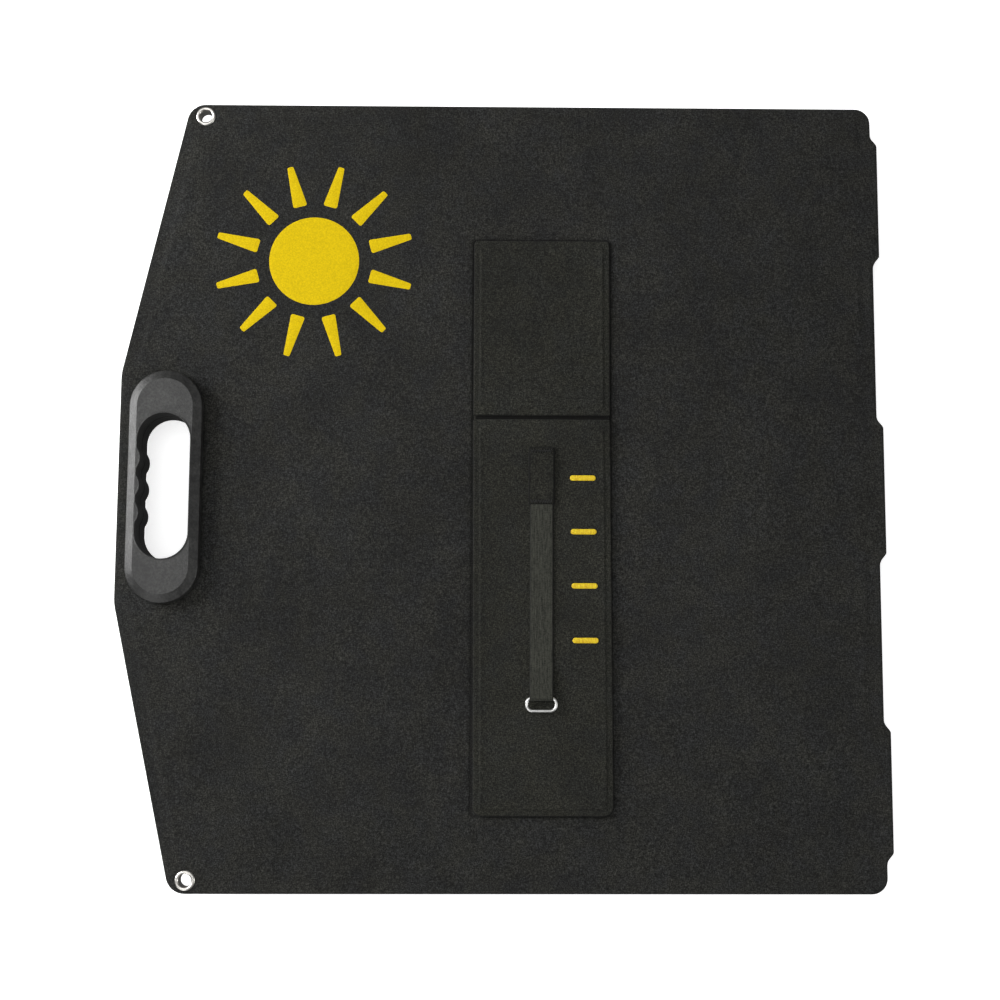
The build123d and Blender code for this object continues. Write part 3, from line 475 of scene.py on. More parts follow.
def fabric_look(name, dark, middle, pale, tint):
    """Woven polyester: crossing yarns, flecked colour, a faint cloudy tint, and painted shade from
    a mesh attribute along seams, creases and undersides.
    """
    look = Look(name, 0.9, specular=0.2, Sheen_Weight=0.04, Sheen_Roughness=0.45)
    weave = look.threads()
    fleck = look.noise(1150.0, 2.0, 0.6)
    long_fleck = look.noise(1.0, 2.0, 0.5, look.stretched((430.0, 1250.0, 800.0)))
    cross_fleck = look.noise(1.0, 2.0, 0.5, look.stretched((1250.0, 430.0, 800.0)))
    yarn = look.math("MULTIPLY", look.math("ADD", long_fleck, cross_fleck), 0.5)
    speck = look.math("MULTIPLY", look.math("ADD", fleck, yarn), 0.5)
    speck = look.math("ADD", speck, look.math("MULTIPLY", look.math("SUBTRACT", weave, 0.5), 0.06))
    colour = look.ramp(speck, [(0.38, dark), (0.50, middle), (0.64, pale)])
    cloud = look.ramp(look.noise(52.0, 3.0, 0.6), [(0.40, (1.0, 1.0, 1.0)), (0.62, tint)])
    colour = look.mix(0.8, colour, cloud, "MULTIPLY")
    wash = look.ramp(look.noise(17.0, 3.0, 0.6), [(0.32, (0.80,) * 3), (0.68, (1.16,) * 3)])
    colour = look.mix(1.0, colour, wash, "MULTIPLY")
    # Painted shade: the colour darkened towards near-black where the mesh attribute asks for it.
    seam = look.node("ShaderNodeAttribute", attribute_name="seam").outputs["Fac"]
    colour = look.mix(seam, colour, PAINTED_SHADE_BLACK)
    look.put("Base Color", colour)
    look.put("Roughness", look.between(fleck, 0.82, 0.97))
    height = look.math("ADD", look.math("MULTIPLY", weave, 0.5), look.math("MULTIPLY", speck, 0.9))
    look.put("Normal", look.bump(height, 0.7, 0.16))
    return look.material


def webbing_look():
    """Ribbed webbing: fine cross picks, long warp streaks, and colour darkened towards both edges.
    """
    look = Look("ribbed_webbing", 0.8, specular=0.25, Sheen_Weight=0.06, Sheen_Roughness=0.4)
    across = look.noise(1.0, 2.0, 0.5, look.stretched((700.0, 1700.0, 300.0)))
    along = look.noise(1.0, 2.0, 0.5, look.stretched((1700.0, 160.0, 300.0)))
    speck = look.math("MULTIPLY", look.math("ADD", across, along), 0.5)
    dark, pale = (0.0085, 0.0090, 0.0066), (0.0480, 0.0492, 0.0385)
    colour = look.ramp(speck, [(0.36, dark), (0.64, pale)])
    parts = look.node("ShaderNodeSeparateXYZ", {0: look.place})
    from_middle = look.math("ABSOLUTE", look.math("SUBTRACT", parts.outputs[0], STAND_X * MM))
    # The colour darkens towards both edges of the strap.
    edge = look.node(
        "ShaderNodeMapRange",
        {
            "Value": from_middle,
            "From Min": (STRAP_HALF - 1.1) * MM,
            "From Max": (STRAP_HALF - 0.2) * MM,
            "To Max": 0.85,
        },
    ).outputs[0]
    look.put("Base Color", look.mix(edge, colour, STRAP_EDGE_BLACK))
    look.put("Roughness", look.between(across, 0.7, 0.9))
    look.put("Normal", look.bump(speck, 0.6, 0.14))
    return look.material


def plastic_look(name, colour, pale, roughness, grain_scale, grain):
    """Moulded plastic with a fine spark-eroded grain and a little handling wear."""
    look = Look(name, roughness, specular=0.5)
    fine = look.noise(grain_scale, 2.0, 0.6)
    mottle = look.noise(170.0, 4.0, 0.7)
    rub = look.noise(48.0, 4.0, 0.65, distortion=0.6)
    worn = look.math("MULTIPLY", rub, mottle)
    rubbed = look.ramp(worn, [(0.16, colour), (0.38, pale)])
    coarse = look.noise(grain_scale * 0.55, 2.0, 0.6)
    fleck = look.ramp(coarse, [(0.36, (0.62,) * 3), (0.64, (1.42,) * 3)])
    look.put("Base Color", look.mix(1.0, rubbed, fleck, "MULTIPLY"))
    spread = look.between(mottle, roughness - 0.16, roughness + 0.16)
    look.put("Roughness", look.math("ADD", spread, look.between(fine, -0.08, 0.08)))
    height = look.math("ADD", look.math("MULTIPLY", fine, 0.6), look.math("MULTIPLY", mottle, 0.7))
    look.put("Normal", look.bump(height, grain, 0.35))
    return look.material


def metal_look(name, colour, dull, roughness):
    """Plated steel: fine rub marks and a faintly uneven plating."""
    look = Look(name, roughness, metallic=1.0)
    rub = look.noise(1.0, 4.0, 0.6, look.stretched((1500.0, 240.0, 900.0)))
    patch = look.noise(210.0, 4.0, 0.6)
    look.put("Base Color", look.ramp(patch, [(0.30, dull), (0.62, colour)]))
    rubbed = look.between(rub, roughness - 0.06, roughness + 0.1)
    look.put("Roughness", look.math("ADD", rubbed, look.between(patch, 0.05, -0.03)))
    look.put("Normal", look.bump(rub, 0.12, 0.03))
    return look.material


def print_look():
    """Ink printed on the weave: the yarns show through as small gaps and bumps."""
    look = Look("sun_print_ink", 0.8, specular=0.12)
    weave = look.threads()
    fleck = look.noise(900.0, 3.0, 0.65)
    body = look.ramp(fleck, [(0.32, (0.55, 0.385, 0.0)), (0.66, (0.74, 0.535, 0.002))])
    look.put("Base Color", body)
    look.put("Roughness", look.between(fleck, 0.62, 0.82))
    height = look.math("ADD", look.math("MULTIPLY", weave, 0.6), look.math("MULTIPLY", fleck, 0.8))
    look.put("Normal", look.bump(height, 0.35, 0.12))
    return look.material


def thread_look(name, colour, pale, direction):
    """Sewing thread: fine strands along one direction."""
    look = Look(name, 0.55, specular=0.4, Sheen_Weight=0.1, Sheen_Roughness=0.4)
    strand = look.noise(1.0, 2.0, 0.5, look.stretched(direction))
    look.put("Base Color", look.ramp(strand, [(0.34, colour), (0.66, pale)]))
    look.put("Roughness", look.between(strand, 0.45, 0.68))
    look.put("Normal", look.bump(strand, 0.45, 0.12))
    return look.material


def cell_look():
    """Dark silicon under a clear film: thin fingers across and wider busbars along each cell."""
    look = Look("solar_cell_dark", 0.32, specular=0.5, Coat_Weight=0.7, Coat_Roughness=0.12)
    parts = look.node("ShaderNodeSeparateXYZ", {0: look.place})

    def stripes(axis, pitch, share, start):
        along = look.math("SUBTRACT", parts.outputs[axis], start * MM)
        turns = look.math("DIVIDE", along, pitch * MM)
        near = look.math("ABSOLUTE", look.math("SUBTRACT", look.math("FRACT", turns), 0.5))
        return look.math("LESS_THAN", near, share)

    finger = stripes(0, CELL_FINGER_PITCH, 0.035, LAMINATE_LOW[0])
    busbar = stripes(1, CELL_BUSBAR_PITCH, 0.028, LAMINATE_LOW[1] + 4.5)
    crystal = look.noise(26.0, 3.0, 0.5)
    blue = look.ramp(crystal, [(0.35, (0.0035, 0.0055, 0.014)), (0.65, (0.006, 0.010, 0.026))])
    silver = (0.30, 0.31, 0.33)
    colour = look.mix(look.math("MULTIPLY", finger, 0.55), blue, silver)
    colour = look.mix(busbar, colour, silver)
    look.put("Base Color", colour)
    look.put("Roughness", look.between(busbar, 0.30, 0.42))
    look.put("Normal", look.bump(look.dimples(), 0.25, 0.12))
    return look.material


def backsheet_look():
    """The black film between and round the cells."""
    look = Look("laminate_backsheet", 0.42, specular=0.5, Coat_Weight=0.6, Coat_Roughness=0.15)
    cloud = look.noise(60.0, 4.0, 0.6)
    dark, pale = (0.010, 0.010, 0.012), (0.017, 0.017, 0.020)
    look.put("Base Color", look.ramp(cloud, [(0.35, dark), (0.65, pale)]))
    look.put("Roughness", look.between(cloud, 0.36, 0.50))
    look.put("Normal", look.bump(look.dimples(), 0.3, 0.12))
    return look.material


def plain_look(name, low, high, roughness, scale, bump):
    """A quiet surface, mostly hidden, with grain of its own."""
    look = Look(name, roughness)
    grain = look.noise(scale, 4.0, 0.6)
    look.put("Base Color", look.ramp(grain, [(0.3, low), (0.7, high)]))
    look.put("Roughness", look.between(grain, roughness - 0.08, roughness + 0.08))
    look.put("Normal", look.bump(grain, bump, 0.1))
    return look.material


FABRIC = fabric_look(
    "charcoal_polyester",
    (0.0034, 0.0034, 0.0028),
    (0.0156, 0.0156, 0.0134),
    (0.0500, 0.0500, 0.0440),
    (0.84, 0.87, 1.0),
)
STAND_FABRIC = fabric_look(
    "stand_polyester",
    (0.0032, 0.0032, 0.0023),
    (0.0146, 0.0147, 0.0112),
    (0.0460, 0.0463, 0.0362),
    (0.86, 0.89, 1.0),
)
WEBBING = webbing_look()
INK = print_look()
YELLOW_THREAD = thread_look(
    "yellow_thread", (0.60, 0.34, 0.002), (0.86, 0.68, 0.012), (2200.0, 260.0, 400.0)
)
DARK_THREAD = thread_look(
    "dark_thread", (0.0020, 0.0020, 0.0016), (0.0075, 0.0075, 0.0065), (1800.0, 1800.0, 1800.0)
)
HANDLE_PLASTIC = plastic_look(
    "grained_black_plastic", (0.011, 0.011, 0.0105), (0.030, 0.030, 0.0285), 0.44, 1000.0, 0.8
)
BOX_PLASTIC = plastic_look(
    "box_black_plastic", (0.010, 0.010, 0.011), (0.024, 0.024, 0.025), 0.5, 700.0, 0.4
)
NICKEL = metal_look("nickel_plate", (0.80, 0.78, 0.74), (0.60, 0.58, 0.54), 0.28)
STEEL = metal_look("ring_steel", (0.82, 0.82, 0.80), (0.62, 0.62, 0.61), 0.40)
CELL = cell_look()
BACKSHEET = backsheet_look()
BOARD_LOOK = plain_look(
    "honeycomb_board", (0.020, 0.020, 0.022), (0.045, 0.045, 0.047), 0.6, 300.0, 0.3
)
RUBBER = plain_look("bush_rubber", (0.010, 0.010, 0.010), (0.024, 0.024, 0.024), 0.72, 800.0, 0.3)
CIRCUIT = plain_look(
    "circuit_board_green", (0.010, 0.060, 0.022), (0.022, 0.105, 0.040), 0.4, 240.0, 0.15
)

PANEL_LOOKS = {
    "board": BOARD_LOOK,
    "laminate": BACKSHEET,
    "cells": CELL,
    "magnets": STEEL,
    "handle_shell": HANDLE_PLASTIC,
    "handle_plate": HANDLE_PLASTIC,
    "handle_screws": STEEL,
    "grommets": NICKEL,
    "stand_base_stiffener": BOARD_LOOK,
    "stand_leg_stiffener": BOARD_LOOK,
    "ring": STEEL,
}
BOX_LOOKS = {
    "box_tray": BOX_PLASTIC,
    "box_lid": BOX_PLASTIC,
    "box_seal": RUBBER,
    "box_screws": STEEL,
    "terminal_board": CIRCUIT,
    "bypass_diodes": BOX_PLASTIC,
    "cable_bush": RUBBER,
}
node_looks = {f"{side}_{piece}": look for side in SIDES for piece, look in PANEL_LOOKS.items()}
for name, look in {**node_looks, **BOX_LOOKS}.items():
    NODES[name].data.materials.clear()
    NODES[name].data.materials.append(look)

# ---- panel cloth ---------------------------------------------------------

PANEL_CORNERS = [
    (SLOT_FLOOR_X, HALF_HEIGHT),
    (HANDLE_EDGE_X + TAPER_RUN, HALF_HEIGHT),
    (HANDLE_EDGE_X, HANDLE_EDGE_HALF),
    (HANDLE_EDGE_X, -HANDLE_EDGE_HALF),
    (HANDLE_EDGE_X + TAPER_RUN, -HALF_HEIGHT),
    (SLOT_FLOOR_X, -HALF_HEIGHT),
]
PANEL_RADII = [12.0, 14.5, 45.0, 45.0, 14.5, 12.0]


def tab_side(u):
    """How far a tab's side stands in from the slot's centre at a place along the cloth."""
    return math.sqrt(max(SLOT_RADIUS**2 - (SLOT_CENTRE_U - u) ** 2, 0.0))


outer = rounded(PANEL_CORNERS, PANEL_RADII, 4.0)
on_spine = np.abs(outer[:, 0] - SLOT_FLOOR_X) < 1e-6
spine_ends = outer[on_spine][:, 1].min(), outer[on_spine][:, 1].max()
rest_of_outline = [tuple(p) for p in outer[~on_spine]]

# Up the spine side, once straight along the slot floor and once out over the tab roots.
straight, tabbed = [], []
cut_turn = math.asin(tab_side(TAB_CUT_X) / SLOT_RADIUS)
level = spine_ends[0]
for low, high in TAB_SPANS:
    plain = run((SLOT_FLOOR_X, level), (SLOT_FLOOR_X, low), 4.0)
    straight += plain + run((SLOT_FLOOR_X, low), (SLOT_FLOOR_X, high), 3.0)
    tabbed += plain
    curve = [
        (SLOT_CENTRE_U - SLOT_RADIUS * math.cos(a), SLOT_RADIUS * math.sin(a))
        for a in np.linspace(0, cut_turn, 9)
    ]
    tabbed += [(u, low + rise) for u, rise in curve]
    tabbed += run((TAB_CUT_X, low + curve[-1][1]), (TAB_CUT_X, high - curve[-1][1]), 3.0)[1:]
    tabbed += [(u, high - rise) for u, rise in curve[:0:-1]]
    level = high
corner = (SLOT_FLOOR_X, spine_ends[1])
last = run((SLOT_FLOOR_X, level), corner, 4.0) + [corner]
straight += last
tabbed += last
face_loop = np.array(straight + rest_of_outline)
back_loop = np.array(tabbed + rest_of_outline)

HANDLE_LENGTH = HANDLE_HIGH[1] - HANDLE_LOW[1]
HANDLE_WIDTH = HANDLE_HIGH[0] - HANDLE_LOW[0]
GRIP_TUBE_LENGTH, GRIP_TUBE_WIDTH = 117.9, 46.4  # the handle's wall that passes through the cover
GROMMET_HOLE = 5.5
grommet_holes = [circle(GROMMET_X, y, GROMMET_HOLE) for y in (-GROMMET_Y, GROMMET_Y)]
back_holes = [stadium(HANDLE_X, GRIP_TUBE_LENGTH, GRIP_TUBE_WIDTH, 3.0), *grommet_holes]
face_holes = [
    rectangle(LAMINATE_LOW[0], LAMINATE_LOW[1], LAMINATE_HIGH[0], LAMINATE_HIGH[1], 4.0, 6.0),
    stadium(HANDLE_X, HANDLE_LENGTH + 0.4, HANDLE_WIDTH + 0.4, 3.0),
    *grommet_holes,
]


def hem_lines():
    """The stretches of the back's outline that are hems, not where the tabs are cut through."""
    cut = np.abs(back_loop[:, 0] - TAB_CUT_X) < 1e-6
    lines, current = [], []
    start = int(np.argmax(cut))
    for i in range(len(back_loop) + 1):
        k = (start + i) % len(back_loop)
        if cut[k]:
            if current:
                lines.append(np.array(current + [back_loop[k]]))
            current = [back_loop[k]]
            if cut[(k + 1) % len(back_loop)]:
                current = []
        else:
            current.append(back_loop[k])
    return [line for line in lines if len(line) > 1]


HEMS = hem_lines()
stand_outline = rectangle(BASE_LOW[0], LEG_LOW[1], BASE_HIGH[0], BASE_HIGH[1], 2.0, 4.0)
handle_outline = stadium(HANDLE_X, HANDLE_LENGTH, HANDLE_WIDTH, 6.0)


def to_hem(xy):
    return np.min([distance(xy, line, closed=False) for line in HEMS], axis=0)


def pressed(gap):
    """The line that the kickstand's sewn edge presses into the cloth beside it."""
    return 0.42 * np.exp(-(((gap - 0.5) / 0.9) ** 2))


def back_level(xy, hem=None):
    """How high the fabric back is: its hem sinks past the board's edge, and it waves a little."""
    hem = to_hem(xy) if hem is None else hem
    stand = distance(xy, stand_outline)
    calm = smooth(stand, 1.0, 30.0) * (1 - inside(xy, stand_outline))
    calm *= smooth(distance(xy, handle_outline), 2.0, 22.0) * (1 - inside(xy, handle_outline))
    for y in (-GROMMET_Y, GROMMET_Y):
        calm *= smooth(np.hypot(xy[:, 0] - GROMMET_X, xy[:, 1] - y), 9.0, 26.0)
    off_board = 1 - smooth(hem, BOARD_INSET - 3.5, BOARD_INSET + 0.5)
    ridge = np.exp(-(((hem - BOARD_INSET - 1.6) / 1.8) ** 2))
    root = smooth(xy[:, 0], SLOT_FLOOR_X - 8.0, SLOT_FLOOR_X - 1.0)
    level = -0.62 * off_board * (1 - root) + 0.14 * ridge
    level += (0.16 + 0.40 * off_board * (1 - root)) * ripple(xy, 70.0, 3)
    level += 0.10 * ripple(xy, 260.0, 8) - 0.12
    return BACK_Z + np.clip(level * calm, -1.0, 0.22) - pressed(stand)


def edge_drop(hem, reach, depth):
    """How far a rounded edge falls, from depth at the very edge to nothing at its reach."""
    inner = np.clip(1 - hem / reach, 0, 1)
    return depth * (1 - np.sqrt(np.clip(1 - inner**2, 0, 1)))


BACK_RINGS = (0.15, 0.4, 0.8, 1.3, 2.2, 4.0, 6.5, 8.5, 9.8, 11.0, 12.2, 13.6, 15.2, 17.5, 21.0)
FACE_RINGS = (0.15, 0.4, 0.8, 1.3, 2.2, 4.0, 7.0)
STAND_LINES = (-4.0, -2.2, -1.4, -0.9, -0.5, -0.1, 0.4, 1.0, 2.0)
around_stand = [moved_in(stand_outline, gap) for gap in STAND_LINES]
back_xy, back_faces = plate(back_loop, back_holes, BACK_RINGS, (2.0, 5.0), 11.0, around_stand)
hem_gap = to_hem(back_xy)
over_tab = smooth(back_xy[:, 0], SLOT_FLOOR_X, SLOT_FLOOR_X + 2.2)
reach = HEM_RADIUS + (0.6 - HEM_RADIUS) * over_tab
depth = (BACK_Z - MID_Z) + (0.45 - (BACK_Z - MID_Z)) * over_tab
rise = back_level(back_xy, hem_gap)
rise = BACK_Z + (rise - BACK_Z) * smooth(hem_gap, 0.0, HEM_RADIUS) * (1 - over_tab)
back_points = with_z(back_xy, rise - edge_drop(hem_gap, reach, depth))
stand_gap = distance(back_xy, stand_outline)
# Painted shade along the kickstand's outline, where the cloth dips; only the base is sewn down, so
# the painted line round the leg is fainter.
back_painted_shade = np.where(back_xy[:, 1] > CREASE_Y - 2.0, 0.8, 0.45) * (1 - smooth(stand_gap, 0.3, 2.2))

face_xy, face_faces = plate(face_loop, face_holes, FACE_RINGS, (1.2,), 11.0)
face_gap = distance(face_xy, face_loop)
face_level = FACE_Z - 0.10 * np.clip(ripple(face_xy, 80.0, 5), -1, 0.2) * smooth(face_gap, 1.0, 6.0)
face_points = with_z(face_xy, face_level + edge_drop(face_gap, HEM_RADIUS, MID_Z - FACE_Z))


def root_walls(shell):
    """The panel's edge under each tab, from its face up to the tab's root."""
    for low, high in TAB_SPANS:
        foot = face_loop[np.abs(face_loop[:, 0] - SLOT_FLOOR_X) < 1e-6]
        foot = foot[(foot[:, 1] >= low - 1e-6) & (foot[:, 1] <= high + 1e-6)]
        gap = to_hem(foot)
        top = BACK_Z - edge_drop(gap, HEM_RADIUS, BACK_Z - MID_Z) - 0.4 * smooth(gap, 0.0, 2.0)
        rows = [with_z(foot, MID_Z + (top - MID_Z) * share) for share in (0.0, 0.5, 1.0)]
        shell.add(np.concatenate(rows), grid_faces(3, len(foot)))


def panel_cloth(side):
    shell = Shell()
    shell.add(back_points, back_faces, seam=back_painted_shade)
    shell.add(face_points, face_faces, flip=True)
    root_walls(shell)
    cloth = shell.build(f"{side}_panel_cloth", FABRIC, side)
    thicken(cloth, PANEL_CLOTH)
    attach(cloth, f"{side}_panel")
    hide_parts(f"{side}_cover", f"{side}_face_frame")


# ---- spine cloth ---------------------------------------------------------

SPINE_BEND = 2.0
bend_turn = np.linspace(0, math.pi / 2, 9)
spine_path = [(TAB_CUT_X - 0.7, BACK_Z - 0.01), (TAB_CUT_X, BACK_Z)]
bend_x, bend_z = SPINE_X - SPINE_BEND, BACK_Z - SPINE_BEND
spine_path += [
    (bend_x + SPINE_BEND * math.sin(a), bend_z + SPINE_BEND * math.cos(a)) for a in bend_turn
]
spine_path += [(SPINE_X, z) for z in np.linspace(BACK_Z - SPINE_BEND, FOLD_Z, 6)[1:]]
spine_path = np.array(spine_path)
spine_out = np.gradient(spine_path, axis=0)
spine_out = np.stack([-spine_out[:, 1], spine_out[:, 0]], 1)
spine_out /= np.linalg.norm(spine_out, axis=1)[:, None]


def spine_cloth(side):
    """One half of each spine tab: over the panel's edge and down to the fold's middle."""
    shell = Shell()
    for low, high in TAB_SPANS:
        rows = []
        for (x, z), out in zip(spine_path, spine_out):
            u = x + (BACK_Z - z)
            first, final = low + tab_side(u), high - tab_side(u)
            fine = np.array([0.0, 0.08, 0.2, 0.35, 0.6, 1.2, 2.5])
            middle = np.linspace(first + 5.0, final - 5.0, 24)
            y = np.concatenate([first + fine, middle, final - fine[::-1]])
            gap = np.minimum(y - first, final - y)
            sink = edge_drop(gap, 0.6, 0.45)
            rows.append(np.stack([x - out[0] * sink, y, z - out[1] * sink], 1))
        shell.add(np.concatenate(rows), grid_faces(len(rows), len(rows[0])), flip=True)
    cloth = shell.build(f"{side}_spine_cloth", FABRIC, side, weld=0)
    thicken(cloth, SPINE_CLOTH)
    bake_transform(cloth)
    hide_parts("spine_tab_lower", "spine_tab_middle", "spine_tab_upper")


# ---- kickstand -----------------------------------------------------------

STAND_RINGS = (0.12, 0.3, 0.55, 0.9, 1.4, 2.4, 3.6, 4.3, 4.8, 5.3, 5.8, 6.4, 7.2, 9.0, 12.0)
HEM_STEP = 0.5  # how much lower the hem is than the stiffened middle
LEG_SLANT = 0.0055  # the leg was sewn on very slightly askew


def sleeve(low, high, radii, seed, crease_side):
    """A stiffener sewn into its fabric sleeve, thinner along a hem on all sides but the crease."""
    loop = rectangle(low[0], low[1], high[0], high[1], radii, 3.0)
    hem_z = high[2] - HEM_STEP
    mid_z = (low[2] + hem_z) / 2
    xy, faces = plate(loop, (), STAND_RINGS, (), 7.0)
    gap = distance(xy, loop)
    round_off = np.sqrt(np.clip(1 - np.clip(1 - gap / 0.9, 0, 1) ** 2, 0, 1))
    far_end = high[1] - xy[:, 1] if crease_side == "low" else xy[:, 1] - low[1]
    hem = np.min([xy[:, 0] - low[0], high[0] - xy[:, 0], far_end], axis=0)
    top = hem_z + HEM_STEP * smooth(hem, 4.2, 5.5)
    top += 0.24 * np.exp(-(((hem - 5.9) / 0.7) ** 2)) - 0.16 * smooth(hem, 5.6, 9.0)
    top += 0.11 * ripple(xy, 42.0, seed) * smooth(gap, 6.0, 20.0)
    top += 0.14 * ripple(xy, 16.0, seed + 1) * smooth(gap, 1.0, 2.4) * (1 - smooth(gap, 3.2, 4.2))
    upper = with_z(xy, mid_z + (np.minimum(top, high[2] + 0.15) - mid_z) * round_off)
    lower = with_z(xy, mid_z + (low[2] - mid_z) * round_off)
    # Painted shade along the sleeve's rim, and over its whole underside.
    edge = 0.8 * (1 - smooth(gap, 0.0, 0.5))
    return Shell().add(upper, faces, seam=edge).add(lower, faces, seam=0.8, flip=True)


def slanted(shell):
    """The leg's points, shifted a little more the further they are from the crease."""
    shell.points = [(x + LEG_SLANT * (LEG_TOP_Y - y), y, z) for x, y, z in shell.points]
    return shell


def stand_cloth(side):
    leg_high = np.array([LEG_HIGH[0], LEG_TOP_Y, LEG_HIGH[2]])
    base = sleeve(BASE_LOW, BASE_HIGH, [1.2, 1.2, 3.0, 3.0], 21, "low")
    leg = slanted(sleeve(LEG_LOW, leg_high, [7.0, 8.0, 1.2, 1.2], 31, "high"))
    for shell, piece, body, low, high in (
        (base, "stand_base", "panel", BASE_LOW, BASE_HIGH),
        (leg, "stand_leg", "leg", LEG_LOW, leg_high),
    ):
        cloth = shell.build(f"{side}_{piece}_cloth", STAND_FABRIC, side)
        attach(cloth, f"{side}_{body}")
        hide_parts(f"{side}_{piece}")


def crease_cloth(side):
    """The strip that the leg swings on, from inside one sleeve to inside the other."""
    ends = BASE_LOW[1] + 3.0, LEG_TOP_Y - 3.0
    y = np.linspace(ends[0], ends[1], 19)
    x = np.linspace(BASE_LOW[0] + 0.6, BASE_HIGH[0] - 0.6, 60)
    sink = 0.35 * np.exp(-(((y - CREASE_Y) / 1.1) ** 2))
    rows_top, rows_low = [], []
    for yy, s in zip(y, sink):
        wave = 0.05 * np.sin(x * 0.9 + yy)
        rows_top.append(np.stack([x, np.full_like(x, yy), LEG_LOW[2] + 0.9 - s + wave], 1))
        rows_low.append(np.stack([x, np.full_like(x, yy), np.full_like(x, LEG_LOW[2] + 0.1)], 1))
    columns = len(x)
    shell = Shell()
    # The strip's top is painted dark all over: painted shade in the crease.
    shell.add(np.concatenate(rows_top), grid_faces(len(y), columns), flip=True, seam=0.9)
    shell.add(np.concatenate(rows_low), grid_faces(len(y), columns))
    for c in (0, columns - 1):
        wall = [r[c] for r in rows_top] + [r[c] for r in rows_low]
        shell.add(wall, grid_faces(2, len(y)), flip=c == 0)
    for r in (0, len(y) - 1):
        shell.add(np.concatenate([rows_top[r], rows_low[r]]), grid_faces(2, columns), flip=r != 0)
    strip = shell.build(f"{side}_crease_cloth", STAND_FABRIC, side)
    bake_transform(strip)


# ---- strap, patch, marks -------------------------------------------------

# The ring's upper bar, which the strap turns round.
BAR_Y = (RING_LOW[1] + RING_HIGH[1]) / 2 + (RING_HIGH[1] - RING_LOW[1]) / 2 - 1.1
RING_Z = (RING_LOW[2] + RING_HIGH[2]) / 2
STRAP_Z = STRAP_LOW[2] + 0.6
HINGE_Y = STRAP_HIGH[1] - 0.6
STRAP_WRAP = 1.85  # from the bar's middle to the webbing's
STRAP_RIBS = 9
PATCH_ROWS = (PATCH_HIGH[1] - 3.0, PATCH_LOW[1] + 2.6)


def strap_line():
    """The middle of the webbing: down the leg, over the ring's bar and back underneath."""
    turn = np.linspace(0.42 * math.pi, 1.5 * math.pi, 22)
    knots = [
        (HINGE_Y + 5.0, STRAP_Z),
        (HINGE_Y - 40.0, STRAP_Z),
        (HINGE_Y - 80.0, STRAP_Z + 0.1),
        (BAR_Y + 24.0, STRAP_Z + 0.25),
        (BAR_Y + 18.0, STRAP_Z + 1.35),
        (BAR_Y + 8.0, STRAP_Z + 1.75),
    ]
    knots += [(BAR_Y + STRAP_WRAP * math.cos(a), RING_Z + STRAP_WRAP * math.sin(a)) for a in turn]
    knots += [(BAR_Y + 6.0, STRAP_Z), (BAR_Y + 16.0, STRAP_Z + 0.02)]
    return resample(np.array(knots), 1.1)


def strap_webbing(side):
    """The webbing's ribbed section, swept along the strap's line."""
    line = strap_line()
    along = np.gradient(line, axis=0)
    along /= np.linalg.norm(along, axis=1)[:, None]
    up = np.stack([along[:, 1], -along[:, 0]], 1)
    across = np.linspace(-1, 1, STRAP_RIBS * 6 + 1)
    body = 0.47 * np.clip(1 - np.abs(across) ** 14, 0.25, 1)
    rib = 0.13 * np.abs(np.sin((across + 1) / 2 * STRAP_RIBS * math.pi)) ** 0.7
    profile_x = np.concatenate([across, across[::-1][1:-1]]) * STRAP_HALF
    half = body + rib
    profile_z = np.concatenate([half, -half[::-1][1:-1]])
    rows = []
    for (y, z), (uy, uz) in zip(line, up):
        rows.append(np.stack([STAND_X + profile_x, y + uy * profile_z, z + uz * profile_z], 1))
    count = len(profile_x)
    shell = Shell().add(np.concatenate(rows), grid_faces(len(rows), count, closed=True), flip=True)
    last = (len(rows) - 1) * count
    shell.faces += [list(range(count)), [last + i for i in range(count)][::-1]]
    strap = shell.build(f"{side}_strap_webbing", WEBBING, side, weld=0)
    z = on_side(side, STRAP_Z) * MM
    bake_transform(strap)
    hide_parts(f"{side}_strap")


def patch_cloth(side):
    """The patch that holds the strap's end, pulled down along its stitches."""
    loop = rectangle(PATCH_LOW[0], PATCH_LOW[1], PATCH_HIGH[0], PATCH_HIGH[1], 0.9, 1.4)
    xy, faces = plate(loop, (), (0.12, 0.35, 0.7, 1.2, 2.0), (), 1.7)
    gap = distance(xy, loop)
    round_off = np.sqrt(np.clip(1 - np.clip(1 - gap / 0.8, 0, 1) ** 2, 0, 1))
    top = PATCH_HIGH[2] - 0.12 + 0.1 * ripple(xy, 11.0, 5)
    # Painted shade round the patch's rim, fainter along the stitch rows, and over its whole
    # underside.
    patch_painted_shade = 0.92 * (1 - smooth(gap, 0.55, 1.5))
    for row_y in PATCH_ROWS:
        row = np.exp(-(((xy[:, 1] - row_y) / 1.3) ** 2))
        top = top - 0.55 * row
        patch_painted_shade = np.maximum(patch_painted_shade, 0.25 * row)
    low_z = LEG_HIGH[2] - 0.35
    upper = with_z(xy, low_z + (top - low_z) * np.clip(round_off, 0, 1))
    lower = with_z(xy, low_z)
    shell = Shell().add(upper, faces, seam=patch_painted_shade).add(lower, faces, seam=0.9, flip=True)
    patch = shell.build(f"{side}_patch_cloth", STAND_FABRIC, side)
    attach(patch, f"{side}_leg")
    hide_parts(f"{side}_strap_patch")
    patch_stitches(side)


STITCH_STEP, STITCH_SWING, STITCH_RADIUS = 1.0, 1.6, 0.3


